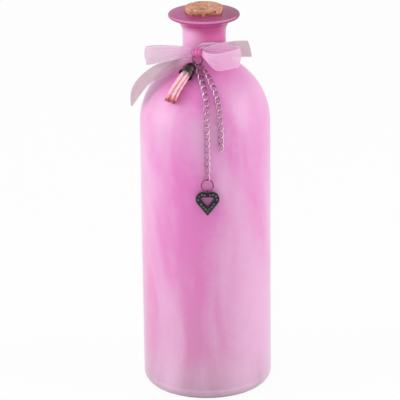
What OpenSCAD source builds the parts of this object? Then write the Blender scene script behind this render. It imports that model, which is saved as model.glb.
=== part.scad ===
/* [Bottle] */
// Outer diameter of the body
body_d = 100; // [94:1:106]
// Height of the straight wall, where the shoulder starts
shoulder_z = 212.7; // [150:0.1:260]
// Radius of the shoulder's arc
shoulder_r = 53.6; // [51:0.1:57]
// Outer diameter of the neck
neck_d = 32.9; // [31:0.1:36]
// Radius of the hollow curve between shoulder and neck
neck_fillet_r = 18; // [15:0.5:20]
// Length of the neck's straight part
neck_l = 10.4; // [8:0.1:30]
// Outer diameter of the flared lip
lip_d = 54.6; // [51:0.1:58]
// Radius of the curve from the neck out to the lip
lip_flare_r = 12; // [11:0.5:14]
// Radius of the lip's rounded edge
lip_edge_r = 1.5; // [1.2:0.1:2]
// Rise of the lip's top from its edge to the mouth
lip_dome = 0.65; // [0.2:0.05:1.2]
// Thickness of the glass wall
wall = 2.9; // [2:0.1:3.5]
// Thickness of the glass floor
floor_t = 7; // [5:0.5:10]
// Radius of the body's lower edge
foot_r = 8.6; // [5:0.2:9]
// Radius of the mouth's inner edge
mouth_r = 1.2; // [0.8:0.1:1.6]

/* [Cork] */
// Length of the cork stopper
cork_l = 24; // [18:0.5:28]
// Height of the cork above the mouth
cork_proud = 4.6; // [3:0.1:8]
// Taper of the cork's side, in degrees
cork_taper = 9; // [4:0.5:10]
// Radius of the cork's worn edges
cork_edge_r = 0.9; // [0.4:0.1:1.5]
// Gap between the cork and the mouth where it seats
cork_fit = 0.1; // [0.06:0.02:0.3]

/* [Ribbon] */
// Width of the ribbon
ribbon_w = 15; // [13:0.5:16]
// Thickness of one run of ribbon
ribbon_t = 0.5; // [0.4:0.05:0.7]
// Thickness of the wrap round the neck, two layers
wrap_t = 0.8; // [0.6:0.1:1.1]
// Height of the wrap where the knot gathers it
wrap_gather = 5; // [4:0.5:7]
// Diameter of the knot
knot_d = 7; // [6.5:0.1:7.5]
// Length of the knot along the ribbon
knot_l = 6.6; // [6:0.1:7.2]
// Reach of the left bow loop from the knot
left_loop_l = 40; // [34:1:42]
// Reach of the right bow loop from the knot
right_loop_l = 32; // [29:1:36]
// Reach of the left ribbon tail from the knot
left_tail_l = 52; // [46:1:54]
// Reach of the right ribbon tail from the knot
right_tail_l = 34; // [31:1:38]

/* [Chain] */
// Outer length of a chain link
link_l = 7.15; // [6.8:0.05:7.4]
// Outer width of a chain link
link_w = 4.8; // [4.6:0.05:5]
// Diameter of the chain's wire
link_wire = 0.9; // [0.8:0.05:0.95]
// Free play between two links
link_play = 0.15; // [0.1:0.01:0.2]
// Turn of each link's ends out of its middle, in degrees
link_twist = 45; // [40:1:50]
// Links in the long chain's upper run
long_upper_links = 6; // [5:1:6]
// Links in the long chain's middle run
long_middle_links = 6; // [5:1:6]
// Links in the long chain's lower run
long_lower_links = 6; // [5:1:7]
// Links in the short chain's upper run
short_upper_links = 7; // [6:1:7]
// Links in the short chain's lower run
short_lower_links = 7; // [5:1:7]
// Gap between the chain and the glass
chain_gap = 0.3; // [0.25:0.05:0.6]

/* [Rings] */
// Outer diameter of the ring in the knot
hang_ring_d = 8; // [7.6:0.1:8.4]
// Diameter of that ring's wire
hang_ring_wire = 0.8; // [0.7:0.05:0.9]
// Outer diameter of the jump ring over the heart
jump_ring_d = 10; // [9:0.1:11]
// Diameter of the jump ring's wire
jump_ring_wire = 0.9; // [0.8:0.05:1]

/* [Heart] */
// Radius of each of the heart's two lobes
heart_lobe_r = 5.4; // [5.2:0.1:5.8]
// Distance of each lobe's middle from the heart's middle line
heart_lobe_x = 3.6; // [3.4:0.1:3.8]
// Depth of the heart's point below its lobes' middles
heart_point_z = 13.3; // [12:0.1:14.5]
// Width of the heart's band at its sides
heart_band = 4.2; // [3.9:0.1:4.4]
// Thickness of the heart
heart_t = 2.4; // [2:0.1:2.8]
// Width of the raised edges beside the stones
heart_rim = 0.7; // [0.5:0.05:0.8]
// Depth of the channel that holds the stones
heart_channel = 0.4; // [0.3:0.05:0.6]
// Diameter of a stone
stone_d = 1.7; // [1.4:0.05:1.8]
// Outer diameter of the heart's hanging loop
bail_d = 3.8; // [3.4:0.1:4]
// Diameter of that loop's wire
bail_wire = 0.6; // [0.5:0.05:0.65]

/* [Tassel] */
// Diameter of the tassel cap's rim
cap_d = 11.2; // [10.5:0.1:12]
// Height of the tassel cap
cap_h = 11.5; // [11:0.1:12.5]
// Thickness of the cap's wall
cap_wall = 0.6; // [0.5:0.05:0.8]
// Outer diameter of the eye on the cap
eye_d = 3.6; // [3.4:0.1:3.8]
// Diameter of the eye pin's wire
eye_wire = 0.7; // [0.6:0.05:0.8]
// Diameter of one strand
strand_d = 2.3; // [2:0.05:2.35]
// Gap between two strands
strand_gap = 0.2; // [0.15:0.05:0.25]
// Length of the strands outside the cap
strand_l = 23; // [18:0.5:26]

/* [Hidden] */
$fn = 64;

// Gap between pieces that rest on each other
seat = 0.3;
// Overrun of a cut past the face that it opens
over = 1;

// Outline of the glass: body, shoulder arc, hollow curve, neck, flare, lip
body_r = body_d / 2;
neck_r = neck_d / 2;
bore_r = neck_r - wall;
shoulder_c = [body_r - shoulder_r, shoulder_z];
fillet_x = neck_r + neck_fillet_r;
fillet_z = shoulder_z + sqrt(pow(shoulder_r + neck_fillet_r, 2) - pow(fillet_x - shoulder_c.x, 2));
shoulder_a = atan2(fillet_z - shoulder_z, fillet_x - shoulder_c.x);
flare_c = [neck_r + lip_flare_r, fillet_z + neck_l];
rim_x = lip_d / 2 - lip_edge_r;
rim_z = flare_c.y + sqrt(pow(lip_flare_r + lip_edge_r, 2) - pow(flare_c.x - rim_x, 2));
flare_a = atan2(rim_z - flare_c.y, rim_x - flare_c.x);
glass_h = rim_z + lip_edge_r + lip_dome;
// Radius of the corner between the wall and the floor, inside
floor_r = foot_r - wall;
// Steps of the outline's arcs
shoulder_steps = 16;
fillet_steps = 8;
corner_steps = 6;

// Cork: its seat is where the mouth's rounded edge meets the bore
seat_z = glass_h - mouth_r;
cork_slope = tan(cork_taper);
cork_top_z = glass_h + cork_proud;
cork_top_r = bore_r - cork_fit + cork_slope * (cork_top_z - seat_z);
cork_bottom_r = cork_top_r - cork_slope * cork_l;

// Bow: the knot lies in front of the wrap, a little left of the middle
knot_az = -14;
wrap_z = fillet_z - wrap_t;
knot_z = fillet_z;
knot_r = neck_r + seat + wrap_t + seat + knot_d / 2;
// Thickness of the knot's ends against its middle
knot_end_share = 0.78;
// Half angle over which the wrap spreads from its gathered height to nearly the ribbon's width
wrap_spread = 70;
wrap_open_share = 0.92;
wrap_steps = 36;
// Steps between two stations of a run of ribbon, and the places across it
ribbon_steps = 4;
ribbon_across = 4;
// Crown of a run of ribbon across its width
ribbon_crown = 0.8;

// Stations of the four runs of the bow, chosen by hand. The first three numbers place the
// ribbon's middle: right and back as shares of the run's reach, up as a share of the
// ribbon's width. The other three are the half width there, as shares of that width.
left_loop_shares = [
    [-0.10, 0.030, 0.02, 0, 0, 0.14],
    [-0.30, 0.110, -0.03, 0, 0.02, 0.30],
    [-0.60, 0.140, -0.17, 0, 0.03, 0.46],
    [-0.88, 0.090, -0.30, 0, 0.03, 0.49],
    [-1.00, -0.050, -0.31, -0.03, 0, 0.49],
    [-0.90, -0.175, -0.20, 0, -0.03, 0.48],
    [-0.62, -0.200, -0.06, 0.03, 0, 0.43],
    [-0.32, -0.125, 0.03, 0.05, 0, 0.29],
    [-0.10, -0.010, 0.02, 0, 0, 0.14]];
right_loop_shares = [
    [0.125, -0.045, 0.00, 0, 0.03, 0.14],
    [0.31, -0.190, -0.22, -0.07, -0.05, 0.33],
    [0.55, -0.230, -0.33, 0.03, -0.03, 0.46],
    [0.82, -0.100, -0.24, 0.08, 0, 0.48],
    [1.00, 0.130, -0.23, 0.03, 0.03, 0.49],
    [0.88, 0.270, -0.20, 0, 0.03, 0.48],
    [0.58, 0.190, -0.13, 0, 0.02, 0.44],
    [0.31, 0.085, 0.01, 0, 0.01, 0.29],
    [0.125, 0.000, 0.01, 0, 0, 0.14]];
left_tail_shares = [
    [-0.077, 0.000, -0.20, 0, 0.01, 0.07],
    [-0.29, -0.085, -0.60, -0.02, 0.05, 0.27],
    [-0.51, -0.130, -0.91, -0.10, 0.20, 0.33],
    [-0.73, -0.115, -1.35, -0.25, 0.38, 0.16],
    [-0.885, -0.077, -2.00, -0.30, 0.38, 0.12],
    [-0.96, -0.056, -2.53, -0.22, 0.30, 0.08],
    [-1.00, -0.027, -3.00, -0.05, 0.08, 0.02]];
right_tail_shares = [
    [0.118, 0.042, 0.02, 0, 0, 0.14],
    [0.30, 0.150, 0.03, 0, 0, 0.29],
    [0.55, 0.310, 0.02, 0, 0, 0.40],
    [0.80, 0.500, -0.04, 0.02, 0, 0.44],
    [1.00, 0.800, -0.20, -0.10, 0, 0.42]];

// Ring in the knot: its top runs through the knot's lower half, a little in front of its middle
ring_in_knot_share = 0.3;
ring_forward = 0.6;
ring_r = knot_r + ring_forward;
hang_r = (hang_ring_d - hang_ring_wire) / 2;
hang_z = knot_z - knot_d * ring_in_knot_share - hang_r;
// Places round the ring, from its lowest point towards the right
long_hook_a = 4;
short_hook_a = 62;
tassel_hook_a = -50;

// Chains: links hang from the ring, run straight to the shoulder, follow it and drop
pitch = link_l - 2 * link_wire - link_play;
// Free play of what hangs on the ring in the knot
hook_play = 0.3;
// Place of the first link's middle below its hook
first_link_s = link_l / 2 - link_wire - hang_ring_wire / 2 - hook_play;
link_a = (link_w - link_wire) / 2;
link_b = (link_l - link_wire) / 2;
link_arc_steps = 8;
link_sides = 6;
// Half of the flat chain's thickness, from the widest place of a twisted end
link_half = turned_half(0);
chain_r = shoulder_r + link_half + chain_gap;
// Directions of the two chains on the wall, seen from above
long_az = 1.2;
short_az = 13;
// Length over which a chain turns from its hook to that direction
long_turn_l = 36;
short_turn_l = 36;
// Turn of each chain's first link about the chain's length, so that its top stands square
// to the ring's wire, and the number of links over which that turn runs out
long_top_turn = -45;
long_turn_links = 2;
short_top_turn = 90;
short_turn_links = 3;
// Turn of the long chain's last links, where they meet the jump ring
end_turn = 30;

// Hooks as [radius, azimuth, height]
function hook(a) = let (t = hang_r * sin(a))
    [norm([ring_r, t]), knot_az + atan2(t, ring_r), hang_z - hang_r * cos(a)];
long_hook = hook(long_hook_a);
short_hook = hook(short_hook_a);
tassel_hook = hook(tassel_hook_a);

// Tassel: the cap's rim rests on the shoulder, the strands follow the glass below it
eye_r = (eye_d - eye_wire) / 2;
eye_drop = eye_r - (eye_wire + hang_ring_wire) / 2 - hook_play;
cap_start = eye_drop + eye_r + eye_wire / 2;
cap_end = cap_start + cap_h;
cap_turn = -4;
tassel_r = shoulder_r + cap_d / 2 + seat;
tassel_d = norm([tassel_hook[0], tassel_hook[2]] - shoulder_c);
tassel_fall = acos((pow(tassel_d, 2) + pow(tassel_r, 2) - pow(cap_end, 2)) / (2 * tassel_d * tassel_r));
tassel_a = atan2(tassel_hook[2] - shoulder_c.y, tassel_hook[0] - shoulder_c.x) - tassel_fall;
tassel_top = polar_point(tassel_hook[0], tassel_hook[1], tassel_hook[2]);
tassel_rim = on_shoulder(tassel_r, tassel_a, tassel_hook[1] + cap_turn);
tassel_dir = unit(tassel_rim - tassel_top);
// Bundle: one strand in the middle and six round it
bundle_r = strand_d + strand_gap;
bundle_count = 6;
// Spread of the bundle at its end, and where in the cap it starts
bundle_spread_share = 1.35;
strand_start_share = 0.42;
strand_seat = bundle_r * bundle_spread_share + strand_d / 2 + seat;
// Turn of the strands' ends and of their last direction, seen from above
strand_az = -8;
strand_end_az = -12;
strand_steps = 9;
strand_sides = 8;
// Strength of the strands' bend at their start and end, as shares of their length
strand_start_pull = 0.55;
strand_end_pull = 0.33;
strand_start = tassel_top + tassel_dir * (cap_start + cap_h * strand_start_share);
strand_end_a = tassel_a - strand_l / (shoulder_r + strand_seat) * 180 / PI;
strand_end = on_shoulder(shoulder_r + strand_seat, strand_end_a, tassel_hook[1] + cap_turn + strand_az);
strand_end_dir = polar_point(sin(strand_end_a), tassel_hook[1] + cap_turn + strand_end_az, -cos(strand_end_a));
// Outline of the cap from crown to rim, as shares of its rim radius and its height; the
// first rows are its dome
cap_dome_rows = 5;
cap_shares = [
    [0.22, 0], [0.50, 0.07], [0.68, 0.18], [0.78, 0.32], [0.81, 0.45], [0.81, 0.50],
    [0.87, 0.52], [0.87, 0.60], [0.82, 0.62], [0.84, 0.76], [0.90, 0.78], [0.90, 0.84],
    [0.88, 0.86], [0.92, 0.93], [1.00, 0.96], [1.00, 1.00]];
// Length of the eye pin's shank, as a share of the cap's height
shank_share = 0.3;

// Heart: hangs from the jump ring, flat to the wall
jump_r = (jump_ring_d - jump_ring_wire) / 2;
bail_r = (bail_d - bail_wire) / 2;
heart_y = -(chain_r - shoulder_r + body_r + turned_half(end_turn) - link_half);
long_links = long_upper_links + long_middle_links + long_lower_links;
short_places = link_places(short_hook, short_upper_links + short_lower_links - 1, short_az, short_turn_l);
long_places = link_places(long_hook, long_links - 1, long_az, long_turn_l);
long_end = wall_z(long_hook, long_places[long_links - 1] + link_l / 2 - link_wire
    - jump_ring_wire / 2 - link_play);
jump_z = long_end - jump_r;
bail_z = jump_z - jump_r - (bail_r - (bail_wire + jump_ring_wire) / 2 - link_play);
heart_cusp = sqrt(pow(heart_lobe_r, 2) - pow(heart_lobe_x, 2));
heart_z = bail_z - bail_r - heart_cusp + bail_wire / 2;
// Opening of the heart: its upper corners and its point
opening_r = 1.5;
opening_x = heart_lobe_x + heart_lobe_r - heart_band - opening_r;
opening_point_z = heart_point_z - heart_band / sin(heart_half_a());
// Middles of the stones, along the middle of the heart's band
stone_line_r = heart_lobe_r - heart_band / 2;
stone_line_h = heart_point_z - heart_band / 2 / sin(heart_half_a());
stone_side_a = side_a(heart_lobe_x, stone_line_r, stone_line_h);
stone_side_l = side_l(heart_lobe_x, stone_line_r, stone_line_h);
side_stone_shares = [0.24, 0.5, 0.76];
lobe_stone_angles = [-8, 38, 82, 117];
// Shift of the lobes' stones out of the band's middle
lobe_stone_out = 0.25;
stone_places = concat(
    [[0, -stone_line_h]],
    [for (s = [-1, 1]) each concat(
        [for (t = side_stone_shares) [s * t * stone_side_l * cos(stone_side_a),
            t * stone_side_l * sin(stone_side_a) - stone_line_h]],
        [for (a = lobe_stone_angles) let (r = stone_line_r + lobe_stone_out)
            [s * (heart_lobe_x + r * cos(a)), r * sin(a)]])]);
// Width of a stone's flat top against its foot
stone_top_share = 0.7;

function unit(v) = v / norm(v);
function polar_point(r, az, z) = [r * sin(az), -r * cos(az), z];
function on_shoulder(r, a, az) = polar_point(shoulder_c.x + r * cos(a), az, shoulder_c.y + r * sin(a));
function mix(a, b, t) = a + (b - a) * t;
function arc(c, r, a0, a1, n) =
    [for (i = [1:n]) let (a = a0 + (a1 - a0) * i / n) c + r * [cos(a), sin(a)]];

// Half angle of the heart's point, between its middle line and a side
function heart_half_a() = 90 - side_a(heart_lobe_x, heart_lobe_r, heart_point_z);
// Direction of a side, from the point at depth h to a lobe of radius r at x
function side_a(x, r, h) = atan2(h, x) - asin(r / norm([x, h]));
function side_l(x, r, h) = sqrt(x * x + h * h - r * r);
function side_end(x, r, h) = [0, -h] + side_l(x, r, h) * [cos(side_a(x, r, h)), sin(side_a(x, r, h))];

// Chain path: length to the shoulder, then along it, in the upright plane of the hook
function hook_d(h) = norm([h[0], h[2]] - shoulder_c);
function touch_a(h) = atan2(h[2] - shoulder_c.y, h[0] - shoulder_c.x) - acos(chain_r / hook_d(h));
function straight_l(h) = sqrt(pow(hook_d(h), 2) - pow(chain_r, 2));
function curve_l(h) = chain_r * touch_a(h) * PI / 180;
function path_a(h, s) = let (d = s - straight_l(h))
    d < 0 ? touch_a(h) : max(0, touch_a(h) - d / chain_r * 180 / PI);
function wall_z(h, s) = shoulder_z - (s - straight_l(h) - curve_l(h));
function path_rz(h, s) = let (a = path_a(h, s), d = s - straight_l(h))
    d < 0 ? shoulder_c + chain_r * [cos(a), sin(a)] + d * [sin(a), -cos(a)]
    : a > 0 ? shoulder_c + chain_r * [cos(a), sin(a)] : [shoulder_c.x + chain_r, wall_z(h, s)];
function path_az(h, s, az, turn_l) = az + (h[1] - az) * pow(max(0, 1 - s / turn_l), 2);
function path_point(h, s, az, turn_l) = let (q = path_rz(h, s)) polar_point(q[0], path_az(h, s, az, turn_l), q[1]);
// Places of the links' middles along the path, one pitch apart in a straight line
function next_s(h, s, az, turn_l) =
    s + pitch * pitch / norm(path_point(h, s + pitch, az, turn_l) - path_point(h, s, az, turn_l));
function link_places(h, n, az, turn_l) = n == 0 ? [first_link_s]
    : let (p = link_places(h, n - 1, az, turn_l)) concat(p, [next_s(h, p[n - 1], az, turn_l)]);

// Middle line of a curb link: an oval whose ends turn out of its middle plane
function link_oval() = concat(
    [for (i = [0:link_arc_steps]) let (a = -90 + 180 * i / link_arc_steps)
        [link_a * sin(a), link_b - link_a + link_a * cos(a)]],
    [[link_a, 0]],
    [for (i = [0:link_arc_steps]) let (a = 90 + 180 * i / link_arc_steps)
        [link_a * sin(a), link_a - link_b + link_a * cos(a)]],
    [[-link_a, 0]]);
function link_path() = [for (q = link_oval()) let (a = link_twist * q.y / link_b)
    [q.x * cos(a), q.x * sin(a), q.y]];
// Half of a link's thickness across the wall, when it is turned about its length
function turned_half(turn) =
    max([for (q = link_path()) abs(q.y * cos(turn) + q.x * sin(turn))]) + link_wire / 2;

// Tube of a given radius round a list of points, closed on itself or with flat ends
function tube_dir(p, i, closed) = let (n = len(p))
    unit(p[closed ? (i + 1) % n : min(n - 1, i + 1)] - p[closed ? (i + n - 1) % n : max(0, i - 1)]);
module tube(p, ref, r, sides, closed) {
    n = len(p);
    pts = [for (i = [0:n - 1]) let (t = tube_dir(p, i, closed), u = unit(cross(t, ref[i])), v = cross(u, t))
        for (k = [0:sides - 1]) p[i] + r * (u * cos(360 * k / sides) + v * sin(360 * k / sides))];
    last = closed ? n - 1 : n - 2;
    skin = [for (i = [0:last], k = [0:sides - 1])
        let (a = i * sides, b = ((i + 1) % n) * sides, c = (k + 1) % sides)
        each [[a + k, b + c, b + k], [a + k, a + c, b + c]]];
    caps = closed ? [] : [[for (k = [sides - 1:-1:0]) k], [for (k = [0:sides - 1]) (n - 1) * sides + k]];
    polyhedron(pts, concat(skin, caps), convexity = 4);
}

// One link at length s of a chain's path, turned and lifted off the path
module link(h, s, az, turn_l, turn, rise) {
    step = pitch / 2;
    down = unit(path_point(h, s + step, az, turn_l) - path_point(h, s - step, az, turn_l));
    a = path_a(h, s);
    out = polar_point(cos(a), path_az(h, s, az, turn_l), sin(a));
    flat = unit(out - (out * down) * down);
    at = path_point(h, s, az, turn_l) + flat * rise;
    side = cross(flat, down);
    depth = flat * cos(turn) + side * sin(turn);
    across = side * cos(turn) - flat * sin(turn);
    path = link_path();
    tube([for (q = path) at + across * q.x + depth * q.y - down * q.z],
        [for (q = path) let (b = link_twist * q.z / link_b) depth * cos(b) - across * sin(b)],
        link_wire / 2, link_sides, true);
}

// Links from first to last of a chain whose places along its path are given
module chain_run(h, places, first, last, az, turn_l, top, top_links, end) {
    n = len(places) - 1;
    for (i = [first:last]) {
        end_part = end * max(0, 1 - (n - i) / long_lower_links);
        link(h, places[i], az, turn_l, top * max(0, 1 - i / top_links) + end_part,
            turned_half(end_part) - link_half);
    }
}

// Curve through stations, and a ribbon of even thickness over them
function through(p, i, t) = let (n = len(p) - 1, a = p[max(0, i - 1)], b = p[i], c = p[i + 1], d = p[min(n, i + 2)])
    ((2 * b) + (c - a) * t + (2 * a - 5 * b + 4 * c - d) * t * t + (3 * b - a - 3 * c + d) * t * t * t) / 2;
function stations(p, n) = concat(
    [for (i = [0:len(p) - 2], j = [0:n - 1]) through(p, i, j / n)], [p[len(p) - 1]]);
function first3(q) = [q[0], q[1], q[2]];
function last3(q) = [q[3], q[4], q[5]];

// Solid of even thickness over a grid of points; wraps round when closed
module sheet(grid, t, closed) {
    n = len(grid);
    m = len(grid[0]);
    normals = [for (i = [0:n - 1]) let (
            before = closed ? (i + n - 1) % n : max(0, i - 1),
            after = closed ? (i + 1) % n : min(n - 1, i + 1))
        [for (j = [0:m - 1]) unit(cross(grid[after][j] - grid[before][j],
            grid[i][min(m - 1, j + 1)] - grid[i][max(0, j - 1)]))]];
    pts = concat(
        [for (i = [0:n - 1], j = [0:m - 1]) grid[i][j] + normals[i][j] * t / 2],
        [for (i = [0:n - 1], j = [0:m - 1]) grid[i][j] - normals[i][j] * t / 2]);
    back = n * m;
    last = closed ? n - 1 : n - 2;
    faces = [for (i = [0:last]) let (a = i * m, b = ((i + 1) % n) * m) each concat(
        [for (j = [0:m - 2]) each [[a + j, a + j + 1, b + j + 1], [a + j, b + j + 1, b + j],
            [back + a + j, back + b + j + 1, back + a + j + 1], [back + a + j, back + b + j, back + b + j + 1]]],
        [[a, b, back + b], [a, back + b, back + a]],
        [[a + m - 1, back + a + m - 1, back + b + m - 1], [a + m - 1, back + b + m - 1, b + m - 1]])];
    caps = closed ? [] : [for (j = [0:m - 2]) each [
        [j, back + j, back + j + 1], [j, back + j + 1, j + 1],
        [back - m + j, back - m + j + 1, 2 * back - m + j + 1], [back - m + j, 2 * back - m + j + 1, 2 * back - m + j]]];
    polyhedron(pts, concat(faces, caps), convexity = 6);
}

// One run of the bow, in the knot's own frame
module ribbon_run(shares, reach) {
    list = stations([for (q = shares) [q[0] * reach, q[1] * reach, q[2] * ribbon_w,
        q[3] * ribbon_w, q[4] * ribbon_w, q[5] * ribbon_w]], ribbon_steps);
    n = len(list);
    grid = [for (i = [0:n - 1]) let (
            way = unit(first3(list[min(n - 1, i + 1)]) - first3(list[max(0, i - 1)])),
            half = last3(list[i]),
            crown = ribbon_crown * min(1, 2 * norm(half) / ribbon_w) * unit(cross(way, half)))
        [for (j = [0:ribbon_across]) let (v = 2 * j / ribbon_across - 1)
            first3(list[i]) + half * v + crown * (1 - v * v)]];
    rotate([0, 0, knot_az]) translate([0, -knot_r, knot_z]) sheet(grid, ribbon_t, false);
}

// Ring of round wire about the Z axis
module wire_ring(r, wire) rotate_extrude() translate([r, 0]) circle(wire / 2);

// Turns a piece made along +Z to run along a direction from a point
module along(p, d) translate(p) rotate([0, acos(d.z), atan2(d.y, d.x)]) children();

// Places a piece in the frame of three square directions at a point
module in_frame(p, x, y, z)
    multmatrix([[x.x, y.x, z.x, p.x], [x.y, y.y, z.y, p.y], [x.z, y.z, z.z, p.z], [0, 0, 0, 1]]) children();

// Frame of the knot's ring: its axis points out of the bottle
module ring_frame() rotate([0, 0, knot_az]) translate([0, -ring_r, hang_z]) rotate([90, 0, 0]) children();

// Heart outline with lobes of radius r at x and its point at depth h
module heart_outline(x, r, h) {
    for (s = [-1, 1])
        translate([s * x, 0]) circle(r);
    e = side_end(x, r, h);
    polygon([[0, -h], e, [x, 0], [-x, 0], [-e.x, e.y]]);
}

// Opening with two small upper corners, a flat top and a point
module heart_opening(x, r, h) {
    for (s = [-1, 1])
        translate([s * x, 0]) circle(r);
    e = side_end(x, r, h);
    polygon([[0, -h], e, [x, r], [-x, r], [-e.x, e.y]]);
}

module in_heart_frame() rotate([0, 0, long_az]) translate([0, heart_y, heart_z]) rotate([90, 0, 0]) children();

module bottle_glass() color([0.9, 0.55, 0.78]) rotate_extrude($fn = 96)
    polygon(concat(
        [[0, 0], [body_r - foot_r, 0]],
        arc([body_r - foot_r, foot_r], foot_r, -90, 0, corner_steps),
        [[body_r, shoulder_z]],
        arc(shoulder_c, shoulder_r, 0, shoulder_a, shoulder_steps),
        arc([fillet_x, fillet_z], neck_fillet_r, 180 + shoulder_a, 180, fillet_steps),
        [flare_c - [lip_flare_r, 0]],
        arc(flare_c, lip_flare_r, 180, flare_a, fillet_steps),
        arc([rim_x, rim_z], lip_edge_r, flare_a - 180, 90, fillet_steps),
        [[bore_r + mouth_r, glass_h]],
        arc([bore_r + mouth_r, glass_h - mouth_r], mouth_r, 90, 180, corner_steps),
        [[bore_r, fillet_z]],
        arc([fillet_x, fillet_z], neck_fillet_r + wall, 180, 180 + shoulder_a, fillet_steps),
        arc(shoulder_c, shoulder_r - wall, shoulder_a, 0, shoulder_steps),
        [[body_r - wall, floor_t + floor_r]],
        arc([body_r - wall - floor_r, floor_t + floor_r], floor_r, 0, -90, corner_steps),
        [[0, floor_t]]));

module cork_stopper() color([0.8, 0.6, 0.45]) rotate_extrude()
    polygon(concat(
        [[0, cork_top_z - cork_l]],
        [[cork_bottom_r - cork_edge_r, cork_top_z - cork_l]],
        arc([cork_bottom_r - cork_edge_r, cork_top_z - cork_l + cork_edge_r], cork_edge_r,
            -90, -cork_taper, corner_steps),
        arc([cork_top_r - cork_edge_r, cork_top_z - cork_edge_r], cork_edge_r,
            -cork_taper, 90, corner_steps),
        [[0, cork_top_z]]));

// The wrap is gathered at the knot and opens to the ribbon's width away from it
module ribbon_neck_wrap() color([0.96, 0.72, 0.87]) {
    grid = [for (i = [0:wrap_steps - 1]) let (
            turn = 360 * i / wrap_steps - 180,
            open = min(1, abs(turn) / wrap_spread),
            half = mix(wrap_gather, ribbon_w * wrap_open_share, (1 - cos(180 * open)) / 2) / 2)
        [for (j = [0:ribbon_across]) let (
                z = wrap_z + half * (2 * j / ribbon_across - 1),
                dz = max(0, fillet_z - z),
                r = fillet_x - sqrt(pow(neck_fillet_r, 2) - dz * dz))
            polar_point(r + seat + wrap_t / 2, knot_az + turn, z)]];
    sheet(grid, wrap_t, true);
}

module ribbon_knot() color([0.93, 0.6, 0.8]) difference() {
    rotate([0, 0, knot_az]) translate([0, -knot_r, knot_z]) rotate([0, 90, 0])
        rotate_extrude() polygon(concat(
            [[0, -knot_l / 2]],
            [for (i = [0:corner_steps * 2]) let (a = 90 - 180 * i / corner_steps / 2)
                [knot_d / 2 * mix(knot_end_share, 1, cos(a)), -knot_l / 2 * sin(a)]],
            [[0, knot_l / 2]]));
    ring_frame() wire_ring(hang_r, hang_ring_wire + seat);
}

module ribbon_left_loop() color([0.95, 0.8, 0.9]) ribbon_run(left_loop_shares, left_loop_l);
module ribbon_right_loop() color([0.95, 0.75, 0.88]) ribbon_run(right_loop_shares, right_loop_l);
module ribbon_left_tail() color([0.85, 0.72, 0.8]) ribbon_run(left_tail_shares, left_tail_l);
module ribbon_right_tail() color([0.78, 0.7, 0.76]) ribbon_run(right_tail_shares, right_tail_l);

module hanging_ring() color([0.35, 0.32, 0.33]) ring_frame() wire_ring(hang_r, hang_ring_wire);

module long_run(first, last) color([0.78, 0.78, 0.82])
    chain_run(long_hook, long_places, first, last, long_az, long_turn_l, long_top_turn, long_turn_links, end_turn);
module long_chain_upper() long_run(0, long_upper_links - 1);
module long_chain_middle() long_run(long_upper_links, long_upper_links + long_middle_links - 1);
module long_chain_lower() long_run(long_upper_links + long_middle_links, long_links - 1);

module short_run(first, last) color([0.78, 0.78, 0.82])
    chain_run(short_hook, short_places, first, last, short_az, short_turn_l, short_top_turn, short_turn_links, 0);
module short_chain_upper() short_run(0, short_upper_links - 1);
module short_chain_lower() short_run(short_upper_links, short_upper_links + short_lower_links - 1);

module jump_ring() color([0.4, 0.3, 0.38]) rotate([0, 0, long_az]) translate([0, heart_y, jump_z])
    rotate([90, 0, 0]) wire_ring(jump_r, jump_ring_wire);

module heart_frame() color([0.12, 0.12, 0.14]) in_heart_frame() {
    difference() {
        translate([0, 0, -heart_t / 2]) linear_extrude(heart_t) difference() {
            heart_outline(heart_lobe_x, heart_lobe_r, heart_point_z);
            heart_opening(opening_x, opening_r, opening_point_z);
        }
        translate([0, 0, heart_t / 2 - heart_channel]) linear_extrude(heart_channel + over) difference() {
            heart_outline(heart_lobe_x, heart_lobe_r - heart_rim,
                heart_point_z - heart_rim / sin(heart_half_a()));
            heart_opening(opening_x, opening_r + heart_rim,
                opening_point_z + heart_rim / sin(heart_half_a()));
        }
    }
    translate([0, heart_cusp + bail_r - bail_wire / 2, 0]) rotate([0, 90, 0]) wire_ring(bail_r, bail_wire);
}

// Low round stones, standing on the channel's floor
module heart_stones() color([0.55, 0.62, 0.56]) in_heart_frame()
    for (p = stone_places)
        translate([p.x, p.y, heart_t / 2 - heart_channel])
            cylinder(h = heart_channel, d1 = stone_d, d2 = stone_d * stone_top_share, $fn = 24);

// Eye pin: a ring on a shank that runs through the cap's crown to a flat head inside
module tassel_eye_pin() color([0.2, 0.18, 0.18]) {
    wire_dir = [cos(tassel_hook_a) * cos(knot_az), cos(tassel_hook_a) * sin(knot_az), sin(tassel_hook_a)];
    across = unit(wire_dir - (wire_dir * tassel_dir) * tassel_dir);
    in_frame(tassel_top + tassel_dir * eye_drop, across, cross(tassel_dir, across), tassel_dir) {
        rotate([0, 90, 0]) wire_ring(eye_r, eye_wire);
        translate([0, 0, eye_r]) cylinder(h = cap_h * shank_share, d = eye_wire);
        translate([0, 0, eye_r + cap_h * shank_share - eye_wire]) cylinder(h = eye_wire, d = eye_d);
    }
}

// Bell cap: a dome, a bead, a stepped skirt and a flared rim, open below
module tassel_cap() color([0.25, 0.23, 0.2]) along(tassel_top + tassel_dir * cap_start, tassel_dir)
    rotate_extrude() polygon(concat(
        [[eye_wire / 2 + link_play, 0]],
        [for (s = cap_shares) [s[0] * cap_d / 2, s[1] * cap_h]],
        [for (i = [len(cap_shares) - 1:-1:1]) [cap_shares[i][0] * cap_d / 2 - cap_wall,
            min(cap_h, cap_shares[i][1] * cap_h + (i < cap_dome_rows ? cap_wall : 0))]],
        [[eye_wire / 2 + link_play, cap_wall]]));

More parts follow.
